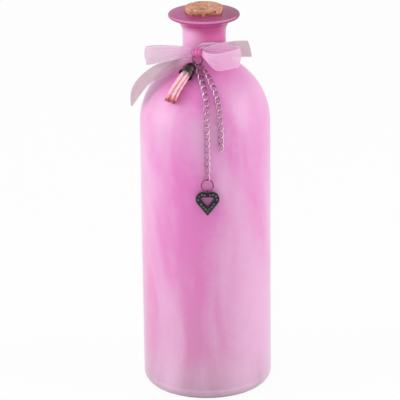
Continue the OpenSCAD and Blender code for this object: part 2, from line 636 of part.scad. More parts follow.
// Seven strands: they leave the cap along its axis and bend down with the shoulder
function bezier(a, b, c, d, t) =
    a * pow(1 - t, 3) + 3 * b * t * pow(1 - t, 2) + 3 * c * t * t * (1 - t) + d * pow(t, 3);
function strand_mid(t) = bezier(strand_start, strand_start + tassel_dir * strand_l * strand_start_pull,
    strand_end - strand_end_dir * strand_l * strand_end_pull, strand_end, t);
module tassel_strands() color([0.95, 0.55, 0.55])
    for (k = [0:bundle_count]) {
        r = k == 0 ? 0 : bundle_r;
        mids = [for (i = [0:strand_steps]) strand_mid(i / strand_steps)];
        path = [for (i = [0:strand_steps]) let (
                way = tube_dir(mids, i, false),
                out = unit(cross(cross(way, [0, 0, 1]), way)),
                side = cross(way, out),
                grow = mix(1, bundle_spread_share, i / strand_steps),
                turn = 360 * k / bundle_count)
            mids[i] + r * grow * (out * cos(turn) + side * sin(turn))];
        tube(path, [for (q = path) [0, 0, 1]], strand_d / 2, strand_sides, false);
    }

bottle_glass();
cork_stopper();
ribbon_neck_wrap();
ribbon_knot();
ribbon_left_loop();
ribbon_right_loop();
ribbon_left_tail();
ribbon_right_tail();
hanging_ring();
long_chain_upper();
long_chain_middle();
long_chain_lower();
jump_ring();
heart_frame();
heart_stones();
short_chain_upper();
short_chain_lower();
tassel_eye_pin();
tassel_cap();
tassel_strands();
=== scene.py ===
# %% [markdown]
# # A frosted glass bottle with a ribbon bow and trinkets
# The bottle is blown glass with a clouded pink coat. A sheer ribbon is tied round its neck, and
# a tassel, two chains and a heart charm hang from a ring in the knot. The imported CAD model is
# loaded first: it holds every size and every joint, and nothing in this file moves it. Each
# piece made here rides on one of its bodies, so it follows when a joint moves.

# %% Load the frame and note its box
import math

import bmesh
import bpy
import numpy as np
from mathutils import Matrix, Vector, noise


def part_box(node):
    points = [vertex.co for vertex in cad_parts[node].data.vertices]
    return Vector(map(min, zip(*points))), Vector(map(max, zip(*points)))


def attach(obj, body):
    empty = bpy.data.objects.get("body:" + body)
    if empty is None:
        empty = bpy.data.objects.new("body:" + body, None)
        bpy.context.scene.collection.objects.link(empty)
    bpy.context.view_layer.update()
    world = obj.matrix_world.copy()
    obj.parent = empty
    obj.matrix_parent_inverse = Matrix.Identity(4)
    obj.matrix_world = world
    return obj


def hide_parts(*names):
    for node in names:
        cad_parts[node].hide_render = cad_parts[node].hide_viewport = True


MM = 0.001
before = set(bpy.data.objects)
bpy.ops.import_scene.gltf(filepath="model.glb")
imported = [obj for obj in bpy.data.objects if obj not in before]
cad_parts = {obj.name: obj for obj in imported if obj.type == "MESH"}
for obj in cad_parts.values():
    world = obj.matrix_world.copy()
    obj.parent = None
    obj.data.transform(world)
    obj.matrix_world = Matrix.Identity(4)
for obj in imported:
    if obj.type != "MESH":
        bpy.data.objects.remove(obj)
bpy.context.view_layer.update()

# %% [markdown]
# ## Camera
# The view is that of a product shot: a long lens, a little above the bottle, looking down at
# it. Such a lens keeps the sides of the bottle nearly parallel. The camera is placed by its
# real position and tilt, because a constraint that aims it would hide its slight roll.


# %% Camera
CAMERA_PLACE = Vector((-4.55, -1937.8, 838.05)) * MM
CAMERA_TILT = 0.3420
CAMERA_ROLL = -0.0115
SENSOR_MM = 36.0
LENS_MM = 239.12
FAR_M = 50


def new_object(name, data):
    """An object of the scene that shows this mesh, camera or light."""
    thing = bpy.data.objects.new(name, data)
    bpy.context.scene.collection.objects.link(thing)
    return thing


camera = new_object("camera", bpy.data.cameras.new("camera"))
camera.data.sensor_width = SENSOR_MM
camera.data.lens = LENS_MM
camera.data.clip_end = FAR_M
turn = Matrix.Rotation(math.pi / 2 - CAMERA_TILT, 4, "X") @ Matrix.Rotation(CAMERA_ROLL, 4, "Z")
camera.matrix_world = Matrix.Translation(CAMERA_PLACE) @ turn
bpy.context.scene.camera = camera
print("camera lens:", camera.data.lens, "mm")

# %% [markdown]
# ## Node helpers
# A material is a graph of nodes. A few small helpers keep each graph readable: they add a node
# and set its inputs by name, do one step of arithmetic, lay one colour over another, or start
# a material and finish it. Most of them find the graph from a socket that they are given.


# %% Node helpers
def plug(socket, value):
    """Sets an input to a value, or links it from a socket of another node."""
    if isinstance(value, bpy.types.NodeSocket):
        socket.id_data.links.new(value, socket)
    else:
        socket.default_value = value


def add(tree, kind, inputs=None, **settings):
    """Adds a shader node; inputs are values, or sockets of other nodes to link from."""
    node = tree.nodes.new("ShaderNode" + kind)
    for name, value in settings.items():
        setattr(node, name, value)
    for name, value in (inputs or {}).items():
        plug(node.inputs[name], value)
    return node


def math_node(operation, *values, clamp=False):
    """One Math node over values and sockets, in the tree of the sockets."""
    tree = next(value.id_data for value in values if isinstance(value, bpy.types.NodeSocket))
    node = add(tree, "Math", dict(enumerate(values)), operation=operation, use_clamp=clamp)
    return node.outputs[0]


def times(a, b):
    """The product of two values or sockets."""
    return math_node("MULTIPLY", a, b)


def times_plus(value, factor, more):
    """A value times a factor, plus more."""
    return math_node("MULTIPLY_ADD", value, factor, more)


def one_less(value):
    """1 minus the value, which turns a mask round."""
    return math_node("SUBTRACT", 1.0, value)


def between(value, low, high):
    """0 below low, 1 above high and a smooth step between them."""
    inputs = {"Value": value, "From Min": low, "From Max": high}
    return add(value.id_data, "MapRange", inputs, interpolation_type="SMOOTHSTEP").outputs[0]


def own_place(tree):
    """The place of a point in the object's own coordinates, in metres."""
    return add(tree, "TexCoord").outputs["Object"]


def xyz(vector):
    """The three parts of a vector or colour."""
    return add(vector.id_data, "SeparateXYZ", {"Vector": vector}).outputs


print("arithmetic helpers are ready")


# %% Colour helpers
def ramp(factor, *stops):
    """A colour ramp over factor; each stop is a place and a colour."""
    node = add(factor.id_data, "ValToRGB", {"Fac": factor})
    elements = node.color_ramp.elements
    elements[0].position, elements[1].position = stops[0][0], stops[-1][0]
    elements[0].color, elements[1].color = (*stops[0][1], 1), (*stops[-1][1], 1)
    for place, colour in stops[1:-1]:
        elements.new(place).color = (*colour, 1)
    return node.outputs["Color"]


def mix(factor, below, above):
    """One colour over to another by factor; a colour is three numbers or a socket."""
    node = add(factor.id_data, "Mix", data_type="RGBA")
    for index, value in ((0, factor), (6, below), (7, above)):
        plug(node.inputs[index], (*value, 1) if isinstance(value, tuple) else value)
    return node.outputs[2]


def tint(mask, amount, below, above):
    """The colour above laid over the one below, by a mask at some strength."""
    return mix(times(mask, amount), below, above)


def start_material(name, **inputs):
    """A material with one Principled shader, its plain inputs set by name."""
    material = bpy.data.materials.new(name)
    material.use_nodes = True
    shader = material.node_tree.nodes["Principled BSDF"]
    for label, value in inputs.items():
        shader.inputs[label.replace("_", " ")].default_value = value
    return material, material.node_tree, shader


def dress(shader, colour, rough=None, relief=None, strength=0.0, depth=0.0):
    """Links the colour, roughness and relief of a surface; depth is the relief's, in mm."""
    plug(shader.inputs["Base Color"], colour)
    if rough is not None:
        plug(shader.inputs["Roughness"], rough)
    if relief is not None:
        inputs = {"Height": relief, "Strength": strength, "Distance": depth * MM}
        plug(shader.inputs["Normal"], add(shader.id_data, "Bump", inputs).outputs[0])


print("colour helpers are ready")


# %% Group helpers
FLOAT, COLOUR, VECTOR = "NodeSocketFloat", "NodeSocketColor", "NodeSocketVector"


def start_group(name, inputs, outputs):
    """A shader node group with named sockets, and the two sides to link from and to."""
    tree = bpy.data.node_groups.new(name, "ShaderNodeTree")
    for side, sockets in (("INPUT", inputs), ("OUTPUT", outputs)):
        for label, kind in sockets.items():
            tree.interface.new_socket(name=label, in_out=side, socket_type=kind)
    return tree, tree.nodes.new("NodeGroupInput").outputs, tree.nodes.new("NodeGroupOutput").inputs


def use_group(tree, group, inputs):
    """Places a group in a material with that material's own values."""
    return add(tree, "Group", inputs, node_tree=group).outputs


print("group helpers are ready")

# %% [markdown]
# ## Shared effects
# Three effects serve more than one material. Clouding is two sizes of soft noise, for the
# coat of the glass, the pits of the cork and the tone of the stones. Weave is two crossed sets
# of fine threads, for the ribbon and the cords. Wear darkens the grooves of plated metal, partly
# as grime and patina and partly as painted shade, and adds dirt in spots.


# %% Clouding group
FINE_PER_BROAD = 9.0


def make_clouding():
    inputs = {"Place": VECTOR, "Scale": FLOAT, "Streaks": FLOAT, "Fine": FLOAT}
    tree, given, put = start_group("clouding", inputs, {"Clouds": FLOAT, "Grit": FLOAT})
    squash = add(tree, "CombineXYZ", {"X": 1.0, "Y": 1.0, "Z": given["Streaks"]}).outputs[0]
    place = add(tree, "VectorMath", {0: given["Place"], 1: squash}, operation="MULTIPLY").outputs[0]
    broad = add(tree, "TexNoise", {
        "Vector": place, "Scale": given["Scale"], "Detail": 3.0, "Roughness": 0.55, "Distortion": 0.6})
    fine = add(tree, "TexNoise", {
        "Vector": given["Place"], "Scale": times(given["Scale"], FINE_PER_BROAD), "Detail": 4.0})
    grit = math_node("SUBTRACT", fine.outputs[0], 0.5)
    plug(put["Clouds"], times_plus(grit, given["Fine"], broad.outputs[0]))
    plug(put["Grit"], fine.outputs[0])
    return tree


CLOUDING = make_clouding()
print("group made:", CLOUDING.name)


# %% Weave group
def make_weave():
    inputs = {"Place": VECTOR, "Threads": FLOAT, "Ratio": FLOAT}
    tree, given, put = start_group("weave", inputs, {"Thread": FLOAT, "Slub": FLOAT})
    parts = xyz(given["Place"])
    counts = (given["Threads"], times(given["Threads"], given["Ratio"]))
    ridges = []
    for axis, count in zip(("X", "Y"), counts):
        wave = math_node("SINE", times(times(parts[axis], count), math.tau))
        ridges.append(times_plus(wave, 0.5, 0.5))
    slub = add(tree, "TexNoise", {"Vector": given["Place"], "Scale": 9.0, "Detail": 2.0})
    plug(put["Thread"], math_node("MAXIMUM", *ridges))
    plug(put["Slub"], slub.outputs[0])
    return tree


WEAVE = make_weave()
print("group made:", WEAVE.name)


# %% Wear group
DIRT_ROUGHNESS, SPOT_ROUGHNESS = 0.35, 0.3


def make_wear_and_groove_shade():
    inputs = {"Metal": COLOUR, "Dirt_and_shade": COLOUR, "Amount": FLOAT, "Scale": FLOAT}
    outputs = {"Colour": COLOUR, "Roughness": FLOAT, "Height": FLOAT}
    tree, given, put = start_group("wear_and_groove_shade", inputs, outputs)
    spots = add(tree, "TexNoise", {
        "Vector": own_place(tree), "Scale": given["Scale"], "Detail": 5.0, "Roughness": 0.6}).outputs[0]
    edge = add(tree, "NewGeometry").outputs["Pointiness"]
    # darker in the grooves: partly grime and patina, partly painted shade
    grooves_grime_and_shade = between(one_less(edge), 0.48, 0.56)
    stain = between(spots, 0.5, 0.75)
    dirt_and_shade = math_node("MULTIPLY", math_node("ADD", grooves_grime_and_shade, stain), given["Amount"], clamp=True)
    rough = times_plus(dirt_and_shade, DIRT_ROUGHNESS, times(spots, SPOT_ROUGHNESS))
    plug(put["Colour"], mix(dirt_and_shade, given["Metal"], given["Dirt_and_shade"]))
    plug(put["Roughness"], rough)
    plug(put["Height"], spots)
    return tree


WEAR_AND_GROOVE_SHADE = make_wear_and_groove_shade()
print("group made:", WEAR_AND_GROOVE_SHADE.name)

# %% [markdown]
# ## Mesh helpers
# Almost every piece here is a grid of points swept along a line or round an axis. One helper
# gives the faces of such a grid, and one puts the mesh in the scene: it hides the CAD node
# that the piece stands for, sets the piece on its body and gives it its material. All points
# are in mm until then. A third lays a map on a piece, along and across its cloth, cord or wire.


# %% Mesh helpers
def unit(v):
    """The same directions, each one long."""
    return v / np.linalg.norm(v, axis=-1, keepdims=True)


def grid_faces(rows, across, closed_rows, closed_across, first=0):
    """Quads over a grid of points, which may close on itself both ways."""
    i, j = np.meshgrid(range(rows - (not closed_rows)), range(across - (not closed_across)), indexing="ij")
    i, j = i.ravel(), j.ravel()
    i2, j2 = (i + 1) % rows, (j + 1) % across
    quads = np.stack([i * across + j, i2 * across + j, i2 * across + j2, i * across + j2], 1) + first
    return quads.tolist()


def make_piece(name, points, faces, body, node, material, smooth=True):
    """A mesh from points in mm, riding on its body in place of its CAD node."""
    mesh = bpy.data.meshes.new(name)
    mesh.from_pydata((np.asarray(points, float).reshape(-1, 3) * MM).tolist(), [], faces)
    mesh.validate()
    mesh.materials.append(material)
    mesh.polygons.foreach_set("use_smooth", [smooth] * len(mesh.polygons))
    shape = bmesh.new()
    shape.from_mesh(mesh)
    bmesh.ops.recalc_face_normals(shape, faces=shape.faces)
    shape.to_mesh(mesh)
    shape.free()
    piece = new_object(name, mesh)
    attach(piece, body)
    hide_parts(node)
    return piece


def lay_map(piece, name, places):
    """A surface map in which each point has its own place."""
    layer = piece.data.uv_layers.new(name=name)
    for loop in piece.data.loops:
        layer.data[loop.index].uv = places[loop.vertex_index]
    return layer


def lathe(profile, around, dent):
    """Points and faces of an outline turned about Z and dented; ends on the axis get a fan."""
    profile = np.asarray(profile, float)
    angle = np.arange(around) * math.tau / around
    ring = np.stack([np.cos(angle), np.sin(angle)], 1)
    body = profile[1:-1]
    points = np.empty((len(body), around, 3))
    points[:, :, :2] = body[:, None, :1] * ring[None]
    points[:, :, 2] = body[:, None, 1]
    points = dent(points)
    faces = grid_faces(len(body), around, False, True)
    count = len(body) * around
    ends = [[0, 0, profile[0][1]], [0, 0, profile[-1][1]]]
    last = count - around
    for k in range(around):
        k2 = (k + 1) % around
        faces += [[count, k2, k], [count + 1, last + k, last + k2]]
    return np.vstack([points.reshape(-1, 3), ends]), faces


def arc(centre, radius, start, stop, steps):
    """Points of an arc after its start, as the outline of the glass is drawn."""
    angle = np.radians(start + (stop - start) * np.arange(1, steps + 1) / steps)
    return np.array(centre) + radius * np.stack([np.cos(angle), np.sin(angle)], 1)


def split(outline, step):
    """The same outline with points no further apart than step."""
    out = [outline[0]]
    for a, b in zip(outline[:-1], outline[1:]):
        n = max(1, int(np.ceil(np.linalg.norm(b - a) / step)))
        out += [a + (b - a) * k / n for k in range(1, n + 1)]
    return np.array(out)


print("mesh helpers are ready")

# %% [markdown]
# ## The glass
# The bottle is blown, so its wall is an outline turned about the upright axis, with a small
# unevenness pressed in afterwards. The outline repeats the CAD one with finer arcs: foot,
# straight wall, shoulder, the hollow curve into the neck, the flare and the rounded lip, then
# back down inside.

# %% Glass outline
BODY_R, FOOT_R, WALL, FLOOR = 50.0, 8.6, 2.9, 7.0
SHOULDER_R, SHOULDER_Z = 53.6, 212.7
NECK_R, FILLET_R, NECK_L = 16.45, 18.0, 10.4
FLARE_R, LIP_R, EDGE_R, LIP_DOME, MOUTH_R = 12.0, 27.3, 1.5, 0.65, 1.2
GLASS_STEP, GLASS_AROUND = 6.0, 144
bore_r = NECK_R - WALL
shoulder_c = np.array([BODY_R - SHOULDER_R, SHOULDER_Z])
fillet_x = NECK_R + FILLET_R
fillet_z = SHOULDER_Z + math.sqrt((SHOULDER_R + FILLET_R) ** 2 - (fillet_x - shoulder_c[0]) ** 2)
shoulder_a = math.degrees(math.atan2(fillet_z - SHOULDER_Z, fillet_x - shoulder_c[0]))
flare_c = np.array([NECK_R + FLARE_R, fillet_z + NECK_L])
rim_x = LIP_R - EDGE_R
rim_z = flare_c[1] + math.sqrt((FLARE_R + EDGE_R) ** 2 - (flare_c[0] - rim_x) ** 2)
flare_a = math.degrees(math.atan2(rim_z - flare_c[1], rim_x - flare_c[0]))
glass_h = rim_z + EDGE_R + LIP_DOME
floor_r = FOOT_R - WALL
outer = np.vstack([
    [[0, 0], [BODY_R - FOOT_R, 0]],
    arc([BODY_R - FOOT_R, FOOT_R], FOOT_R, -90, 0, 14),
    [[BODY_R, SHOULDER_Z]],
    arc(shoulder_c, SHOULDER_R, 0, shoulder_a, 40),
    arc([fillet_x, fillet_z], FILLET_R, 180 + shoulder_a, 180, 20),
    [flare_c - [FLARE_R, 0]],
    arc(flare_c, FLARE_R, 180, flare_a, 24),
    arc([rim_x, rim_z], EDGE_R, flare_a - 180, 90, 16),
    [[bore_r + MOUTH_R, glass_h]],
    arc([bore_r + MOUTH_R, glass_h - MOUTH_R], MOUTH_R, 90, 180, 8),
])
inner = np.vstack([
    [[bore_r, fillet_z]],
    arc([fillet_x, fillet_z], FILLET_R + WALL, 180, 180 + shoulder_a, 20),
    arc(shoulder_c, SHOULDER_R - WALL, shoulder_a, 0, 40),
    [[BODY_R - WALL, FLOOR + floor_r]],
    arc([BODY_R - WALL - floor_r, FLOOR + floor_r], floor_r, 0, -90, 10),
    [[0, FLOOR]],
])
glass_outline = split(np.vstack([outer, inner]), GLASS_STEP)
print("glass is", round(glass_h, 2), "mm high; outline points:", len(glass_outline))

# %% [markdown]
# The coat of the glass is not even. It is denser in the thick neck and lip, and a little greyer
# at the foot, and it has long pale clouds down the body where it was wiped thin. Painted light
# lies over that: a paleness towards both sides as painted sheen, a painted highlight on the left
# of the neck, painted shade on the right of the lip, a painted highlight along the front of the
# rim, painted shade over the foot's rounding and a painted shadow along the base. All of that
# is colour over height and soft noise, in the bottle's own coordinates. First come the
# colours; each place in the table is a share of the height of the glass.

# %% Glass colours
GLASS_TONES = (
    (0.0, (0.56, 0.32, 0.45)), (0.035, (0.62, 0.37, 0.51)), (0.07, (0.74, 0.38, 0.57)),
    (0.13, (0.79, 0.30, 0.57)), (0.30, (0.87, 0.26, 0.61)), (0.62, (0.91, 0.23, 0.65)),
    (0.84, (0.95, 0.24, 0.68)), (0.91, (0.94, 0.23, 0.61)), (0.945, (0.84, 0.16, 0.47)),
    (0.97, (0.62, 0.07, 0.31)), (1.0, (0.50, 0.055, 0.25)))
# Below: the pale pink of thin coat and of painted sheen, a painted highlight for the neck, the lip's swirl,
# painted shade for the lip, a painted highlight for the rim, painted shade for the foot and a painted
# shadow along the base.
WIPED_AND_SHEEN_PINK, NECK_PAINTED_HIGHLIGHT = (0.96, 0.60, 0.85), (1.0, 0.56, 0.86)
LIP_SWIRL, LIP_PAINTED_SHADE, RIM_PAINTED_HIGHLIGHT = (0.80, 0.26, 0.52), (0.27, 0.015, 0.10), (0.92, 0.42, 0.70)
FOOT_PAINTED_SHADE, BASE_PAINTED_SHADOW = (0.45, 0.25, 0.36), (0.02, 0.005, 0.01)
WIPED_AND_SHEEN_MOST = 0.72

# Zones, each from where a mask starts to where it is full: first in shares of the height of
# the glass, then in metres from the bottle's middle or foot, then in levels of the clouds.
LEANING, CLOUDS_END, NECK_START, NECK_END = (0.46, 0.62), (0.80, 0.89), (0.895, 0.915), (0.952, 0.976)
PAINTED_SHADE_START, SWIRL_START = (0.96, 0.98), (0.965, 0.985)
BASE_SHADOW_UP, FOOT_SHADE_UP = (0.0018, 0.0034), (0.004, 0.012)
PAINTED_SHEEN_ASIDE, PAINTED_HIGHLIGHT_RIGHT, PAINTED_SHADE_RIGHT = (0.006, 0.036), (-0.0125, 0.003), (0.002, 0.022)
RIM_HIGHLIGHT_REACH, RIM_HIGHLIGHT_BACK = (0.0258, 0.0266), (-0.004, -0.020)
RIM_HIGHLIGHT_UP = ((rim_z - 0.2) * MM, (rim_z + 0.6) * MM)
WIPED_AND_SHEEN_LEVEL, SWIRL_LEVEL = (0.36, 0.76), (0.40, 0.62)
LEAN_BY = 0.011
print("glass tones over the height:", len(GLASS_TONES))


# %% Clouds, neck and lip
def wiped_clouds_and_painted_sheen(side, part, clouds):
    """Pale clouds where the coat is wiped thin, and a painted sheen that makes both sides paler; none on
    the neck.
    """
    leaning = times_plus(between(part, *LEANING), LEAN_BY, side)
    # painted sheen: paler towards both sides of the bottle
    aside = between(math_node("ABSOLUTE", leaning), *PAINTED_SHEEN_ASIDE)
    clearing_and_sheen = math_node("ADD", times_plus(aside, 0.20, -0.07), clouds)
    ending = times(between(part, *CLOUDS_END), WIPED_AND_SHEEN_MOST)
    return times(between(clearing_and_sheen, *WIPED_AND_SHEEN_LEVEL), math_node("SUBTRACT", WIPED_AND_SHEEN_MOST, ending))


def neck_and_lip(tree, whole, side, back, height, part, clouds):
    """A painted highlight on the left of the neck, then the lip's swirl, painted shade on its right and a
    painted highlight along its rim.
    """
    neck = times(between(part, *NECK_START), one_less(between(part, *NECK_END)))
    # painted highlight on the left of the neck
    left = times(one_less(between(side, *PAINTED_HIGHLIGHT_RIGHT)), 0.85)
    whole = tint(neck, left, whole, NECK_PAINTED_HIGHLIGHT)
    swirl = times(between(clouds, *SWIRL_LEVEL), between(part, *SWIRL_START))
    whole = tint(swirl, 0.35, whole, LIP_SWIRL)
    # painted shade on the right of the lip
    right = times(between(side, *PAINTED_SHADE_RIGHT), between(part, *PAINTED_SHADE_START))
    whole = tint(right, 0.65, whole, LIP_PAINTED_SHADE)
    # painted highlight along the front of the rim
    level = add(tree, "CombineXYZ", {"X": side, "Y": back}).outputs[0]
    reach = add(tree, "VectorMath", {0: level}, operation="LENGTH").outputs["Value"]
    rim = times(between(reach, *RIM_HIGHLIGHT_REACH), between(height, *RIM_HIGHLIGHT_UP))
    return tint(times(rim, between(back, *RIM_HIGHLIGHT_BACK)), 0.7, whole, RIM_PAINTED_HIGHLIGHT)


print("the rim light starts", round(RIM_HIGHLIGHT_UP[0] / MM, 1), "mm up")

# %% [markdown]
# The body is frosted; the flare and the lip were left polished, so they are a second,
# glossier glass in the same colours. Both let about a fifth of the light through and scatter
# the rest, so the wall glows a little where the light is behind it.


# %% Coloured glass material
def coloured_glass(name, ior, level, sheen, frost):
    """Pink glass; level is how strongly it mirrors and frost how rough it is."""
    material, tree, shader = start_material(
        name, IOR=ior, Transmission_Weight=0.22, Specular_IOR_Level=level, Sheen_Weight=sheen,
        Sheen_Roughness=0.4, Coat_Weight=0.08, Coat_Roughness=0.2)
    place = own_place(tree)
    side, back, height = xyz(place)
    clouds, grit = use_group(tree, CLOUDING, {"Place": place, "Scale": 24.0, "Streaks": 0.35, "Fine": 0.12})
    part = math_node("DIVIDE", height, glass_h * MM)
    # pale clouds where the coat is thin, and painted sheen towards the sides
    whole = mix(wiped_clouds_and_painted_sheen(side, part, clouds), ramp(part, *GLASS_TONES), WIPED_AND_SHEEN_PINK)
    # painted shade over the foot's rounding, which dulls the floor's reflection there
    whole = tint(one_less(between(height, *FOOT_SHADE_UP)), 0.55, whole, FOOT_PAINTED_SHADE)
    # painted shadow along the very bottom of the glass
    whole = mix(one_less(between(height, *BASE_SHADOW_UP)), whole, BASE_PAINTED_SHADOW)
    whole = neck_and_lip(tree, whole, side, back, height, part, clouds)
    dress(shader, whole, times_plus(grit, 0.2, frost), grit, 0.12, 0.1)
    return material


FROSTED = coloured_glass("frosted_glass", 1.45, 0.5, 0.45, 0.30)
POLISHED = coloured_glass("polished_glass", 1.2, 0.3, 0.0, 0.12)
print("materials made:", FROSTED.name, POLISHED.name)

# %% [markdown]
# Blown glass is never quite round. A slow noise moves each point of the wall inwards by up to
# 0.15 mm, never outwards, so that the chains keep their room.

# %% Bottle
DIP_MM, DIP_SIZE, DIP_FULL_FROM = 0.15, 31.0, 30.0
POLISHED_FROM = (flare_c[1] + 7.0) * MM


def blown(points):
    out = points.copy()
    for row in out:
        for p in row:
            reach = math.hypot(p[0], p[1])
            dip = DIP_MM / 2 * (1 + noise.noise(Vector(p) / DIP_SIZE)) * min(1.0, reach / DIP_FULL_FROM)
            p[:2] *= 1 - dip / max(reach, 1.0)
    return out


points, faces = lathe(glass_outline, GLASS_AROUND, blown)
bottle = make_piece("bottle", points, faces, "bottle", "bottle_glass", FROSTED)
bottle.data.materials.append(POLISHED)
for face in bottle.data.polygons:
    face.material_index = int(face.center.z > POLISHED_FROM)
print("bottle faces:", len(bottle.data.polygons))

# %% [markdown]
# ## The cork
# The stopper is pressed from cork grains. Small grains give speckles of tan and brown, and
# a few have fallen out and left dark pits. Both are real dents in the mesh, because at a worn
# edge a bump alone would leave a clean outline: shallow seams where two cells of a cell noise
# meet, and deeper chips where a soft noise is high.

# %% Cork shape
CORK_L, CORK_PROUD, CORK_SLOPE, CORK_EDGE, CORK_FIT = 24.0, 4.6, math.tan(math.radians(9)), 0.9, 0.1
CORK_STEP, CORK_AROUND = 0.45, 180
cork_top = glass_h + CORK_PROUD
cork_top_r = bore_r - CORK_FIT + CORK_SLOPE * (cork_top - glass_h + MOUTH_R)
cork_low_r = cork_top_r - CORK_SLOPE * CORK_L
cork_low = cork_top - CORK_L
cork_outline = split(np.vstack([
    [[0, cork_low], [cork_low_r - CORK_EDGE, cork_low]],
    arc([cork_low_r - CORK_EDGE, cork_low + CORK_EDGE], CORK_EDGE, -90, -9, 6),
    arc([cork_top_r - CORK_EDGE, cork_top - CORK_EDGE], CORK_EDGE, -9, 90, 8),
    [[0, cork_top]],
]), CORK_STEP)
print("cork is", round(2 * cork_top_r, 1), "mm across at the top; outline points:", len(cork_outline))

# %% Cork pits
GRAIN_SIZE, SEAM_WIDTH, SEAM_DEPTH = 2.1, 0.22, 0.06
CHIP_SIZE, CHIP_FROM, CHIP_MOST, CHIP_SLOPE = 1.7, 0.28, 0.3, 2.2
CHIP_SHIFT = Vector((7, 3, 1))
TOP_FACE = 0.5


def cork_depth(p):
    """Depth of the seams and the fallen grains' pits at a point, in mm."""
    distance, _ = noise.voronoi(Vector(p) / GRAIN_SIZE)
    seam = max(0.0, SEAM_WIDTH - (distance[1] - distance[0])) / SEAM_WIDTH
    chip = max(0.0, noise.noise(Vector(p) / CHIP_SIZE + CHIP_SHIFT) - CHIP_FROM)
    return SEAM_DEPTH * seam + CHIP_SLOPE * min(chip, CHIP_MOST)


def pitted(points):
    out = points.copy()
    middle = np.array([0, 0, (cork_top + cork_low) / 2])
    for row in out:
        for p in row:
            inward = Vector(middle - p) if p[2] > cork_top - TOP_FACE else Vector((-p[0], -p[1], 0))
            p += np.array(inward.normalized()) * cork_depth(p)
    return out


print("deepest pit in mm:", round(SEAM_DEPTH + CHIP_SLOPE * CHIP_MOST, 2))

# %% Cork material and piece
CORK_TONES = (
    (0.0, (0.42, 0.16, 0.08)), (0.2, (0.58, 0.25, 0.15)),
    (0.6, (0.68, 0.33, 0.21)), (1.0, (0.78, 0.43, 0.31)))
CORK_PIT = (0.20, 0.05, 0.03)
# The side is worn at the front, a little below the top; both zones are in metres.
WORN_BACK = (-0.008, -0.013)
WORN_UP = ((cork_top - 1.0) * MM, (cork_top - 2.6) * MM)


def cork_material():
    material, tree, shader = start_material("cork", Roughness=0.8)
    place = own_place(tree)
    grains = add(tree, "TexVoronoi", {"Vector": place, "Scale": 480.0, "Randomness": 1.0})
    tone = ramp(xyz(grains.outputs["Color"])["X"], *CORK_TONES)
    clouds, grit = use_group(tree, CLOUDING, {"Place": place, "Scale": 160.0, "Streaks": 1.0, "Fine": 0.5})
    _, back, height = xyz(place)
    worn = times(between(back, *WORN_BACK), between(height, *WORN_UP))
    pit = between(times_plus(worn, 0.17, clouds), 0.58, 0.68)
    colour = tint(pit, 0.8, tone, CORK_PIT)
    rough = times_plus(grit, 0.3, 0.6)
    dress(shader, colour, rough, grains.outputs["Distance"], 0.4, 0.25)
    return material


points, faces = lathe(cork_outline, CORK_AROUND, pitted)
cork = make_piece("cork", points, faces, "cork", "cork_stopper", cork_material())
print("cork faces:", len(cork.data.polygons))

# %% [markdown]
# ## The ribbon
# The bow is sheer organza, 15 mm wide, with a fine woven edge. Each run follows the same
# stations as its CAD solid: a middle point and a half width across. The first two numbers of
# a station, right and back, are shares of the run's reach, and the other four, up and the half
# width's right, back and up, are shares of the ribbon's width. A curve runs through the
# stations, and the cloth between its two edges gets gathers that are deep at the knot and die
# out along the run. Organza lets light through, so the gaps between its threads are clearer
# than the threads, and the edges and folds look denser.

# %% Ribbon stations
RIBBON_W, KNOT_AZ, CROWN, SEAT, WRAP_T = 15.0, -14.0, 0.8, 0.3, 0.8
KNOT_D, KNOT_LEN = 7.0, 6.6
knot_r = NECK_R + SEAT + WRAP_T + SEAT + KNOT_D / 2
LEFT_LOOP = [
    [-0.1, 0.03, 0.02, 0, 0, 0.14], [-0.3, 0.11, -0.06, 0, 0.02, 0.24],
    [-0.6, 0.14, -0.22, 0, 0.03, 0.38], [-0.88, 0.09, -0.31, 0, 0.03, 0.46],
    [-1, -0.05, -0.31, -0.03, 0, 0.49], [-0.9, -0.175, -0.2, 0, -0.03, 0.48],
    [-0.62, -0.2, -0.06, 0.03, 0, 0.43], [-0.32, -0.125, 0.03, 0.05, 0, 0.29],
    [-0.1, -0.01, 0.02, 0, 0, 0.14]]
RIGHT_LOOP = [
    [0.125, -0.045, 0, 0, 0.03, 0.14], [0.31, -0.19, -0.22, -0.07, -0.05, 0.33],
    [0.55, -0.23, -0.33, 0.03, -0.03, 0.46], [0.82, -0.1, -0.24, 0.08, 0, 0.48],
    [1, 0.13, -0.23, 0.03, 0.03, 0.49], [0.88, 0.27, -0.2, 0, 0.03, 0.48],
    [0.58, 0.19, -0.13, 0, 0.02, 0.44], [0.31, 0.085, 0.01, 0, 0.01, 0.29],
    [0.125, 0, 0.01, 0, 0, 0.14]]
LEFT_TAIL = [
    [-0.077, 0, -0.2, 0, 0.01, 0.07], [-0.29, -0.085, -0.6, -0.02, 0.05, 0.27],
    [-0.51, -0.13, -0.91, -0.1, 0.2, 0.33], [-0.73, -0.115, -1.35, -0.25, 0.38, 0.16],
    [-0.885, -0.077, -2, -0.3, 0.38, 0.12], [-0.96, -0.056, -2.53, -0.22, 0.3, 0.08],
    [-1, -0.027, -3, -0.05, 0.08, 0.02]]
RIGHT_TAIL = [
    [0.118, 0.042, 0.02, 0, 0, 0.14], [0.3, 0.15, 0.03, 0, 0, 0.29],
    [0.55, 0.31, 0.02, 0, 0, 0.4], [0.8, 0.5, -0.04, 0.02, 0, 0.44],
    [1, 0.8, -0.2, -0.1, 0, 0.42]]


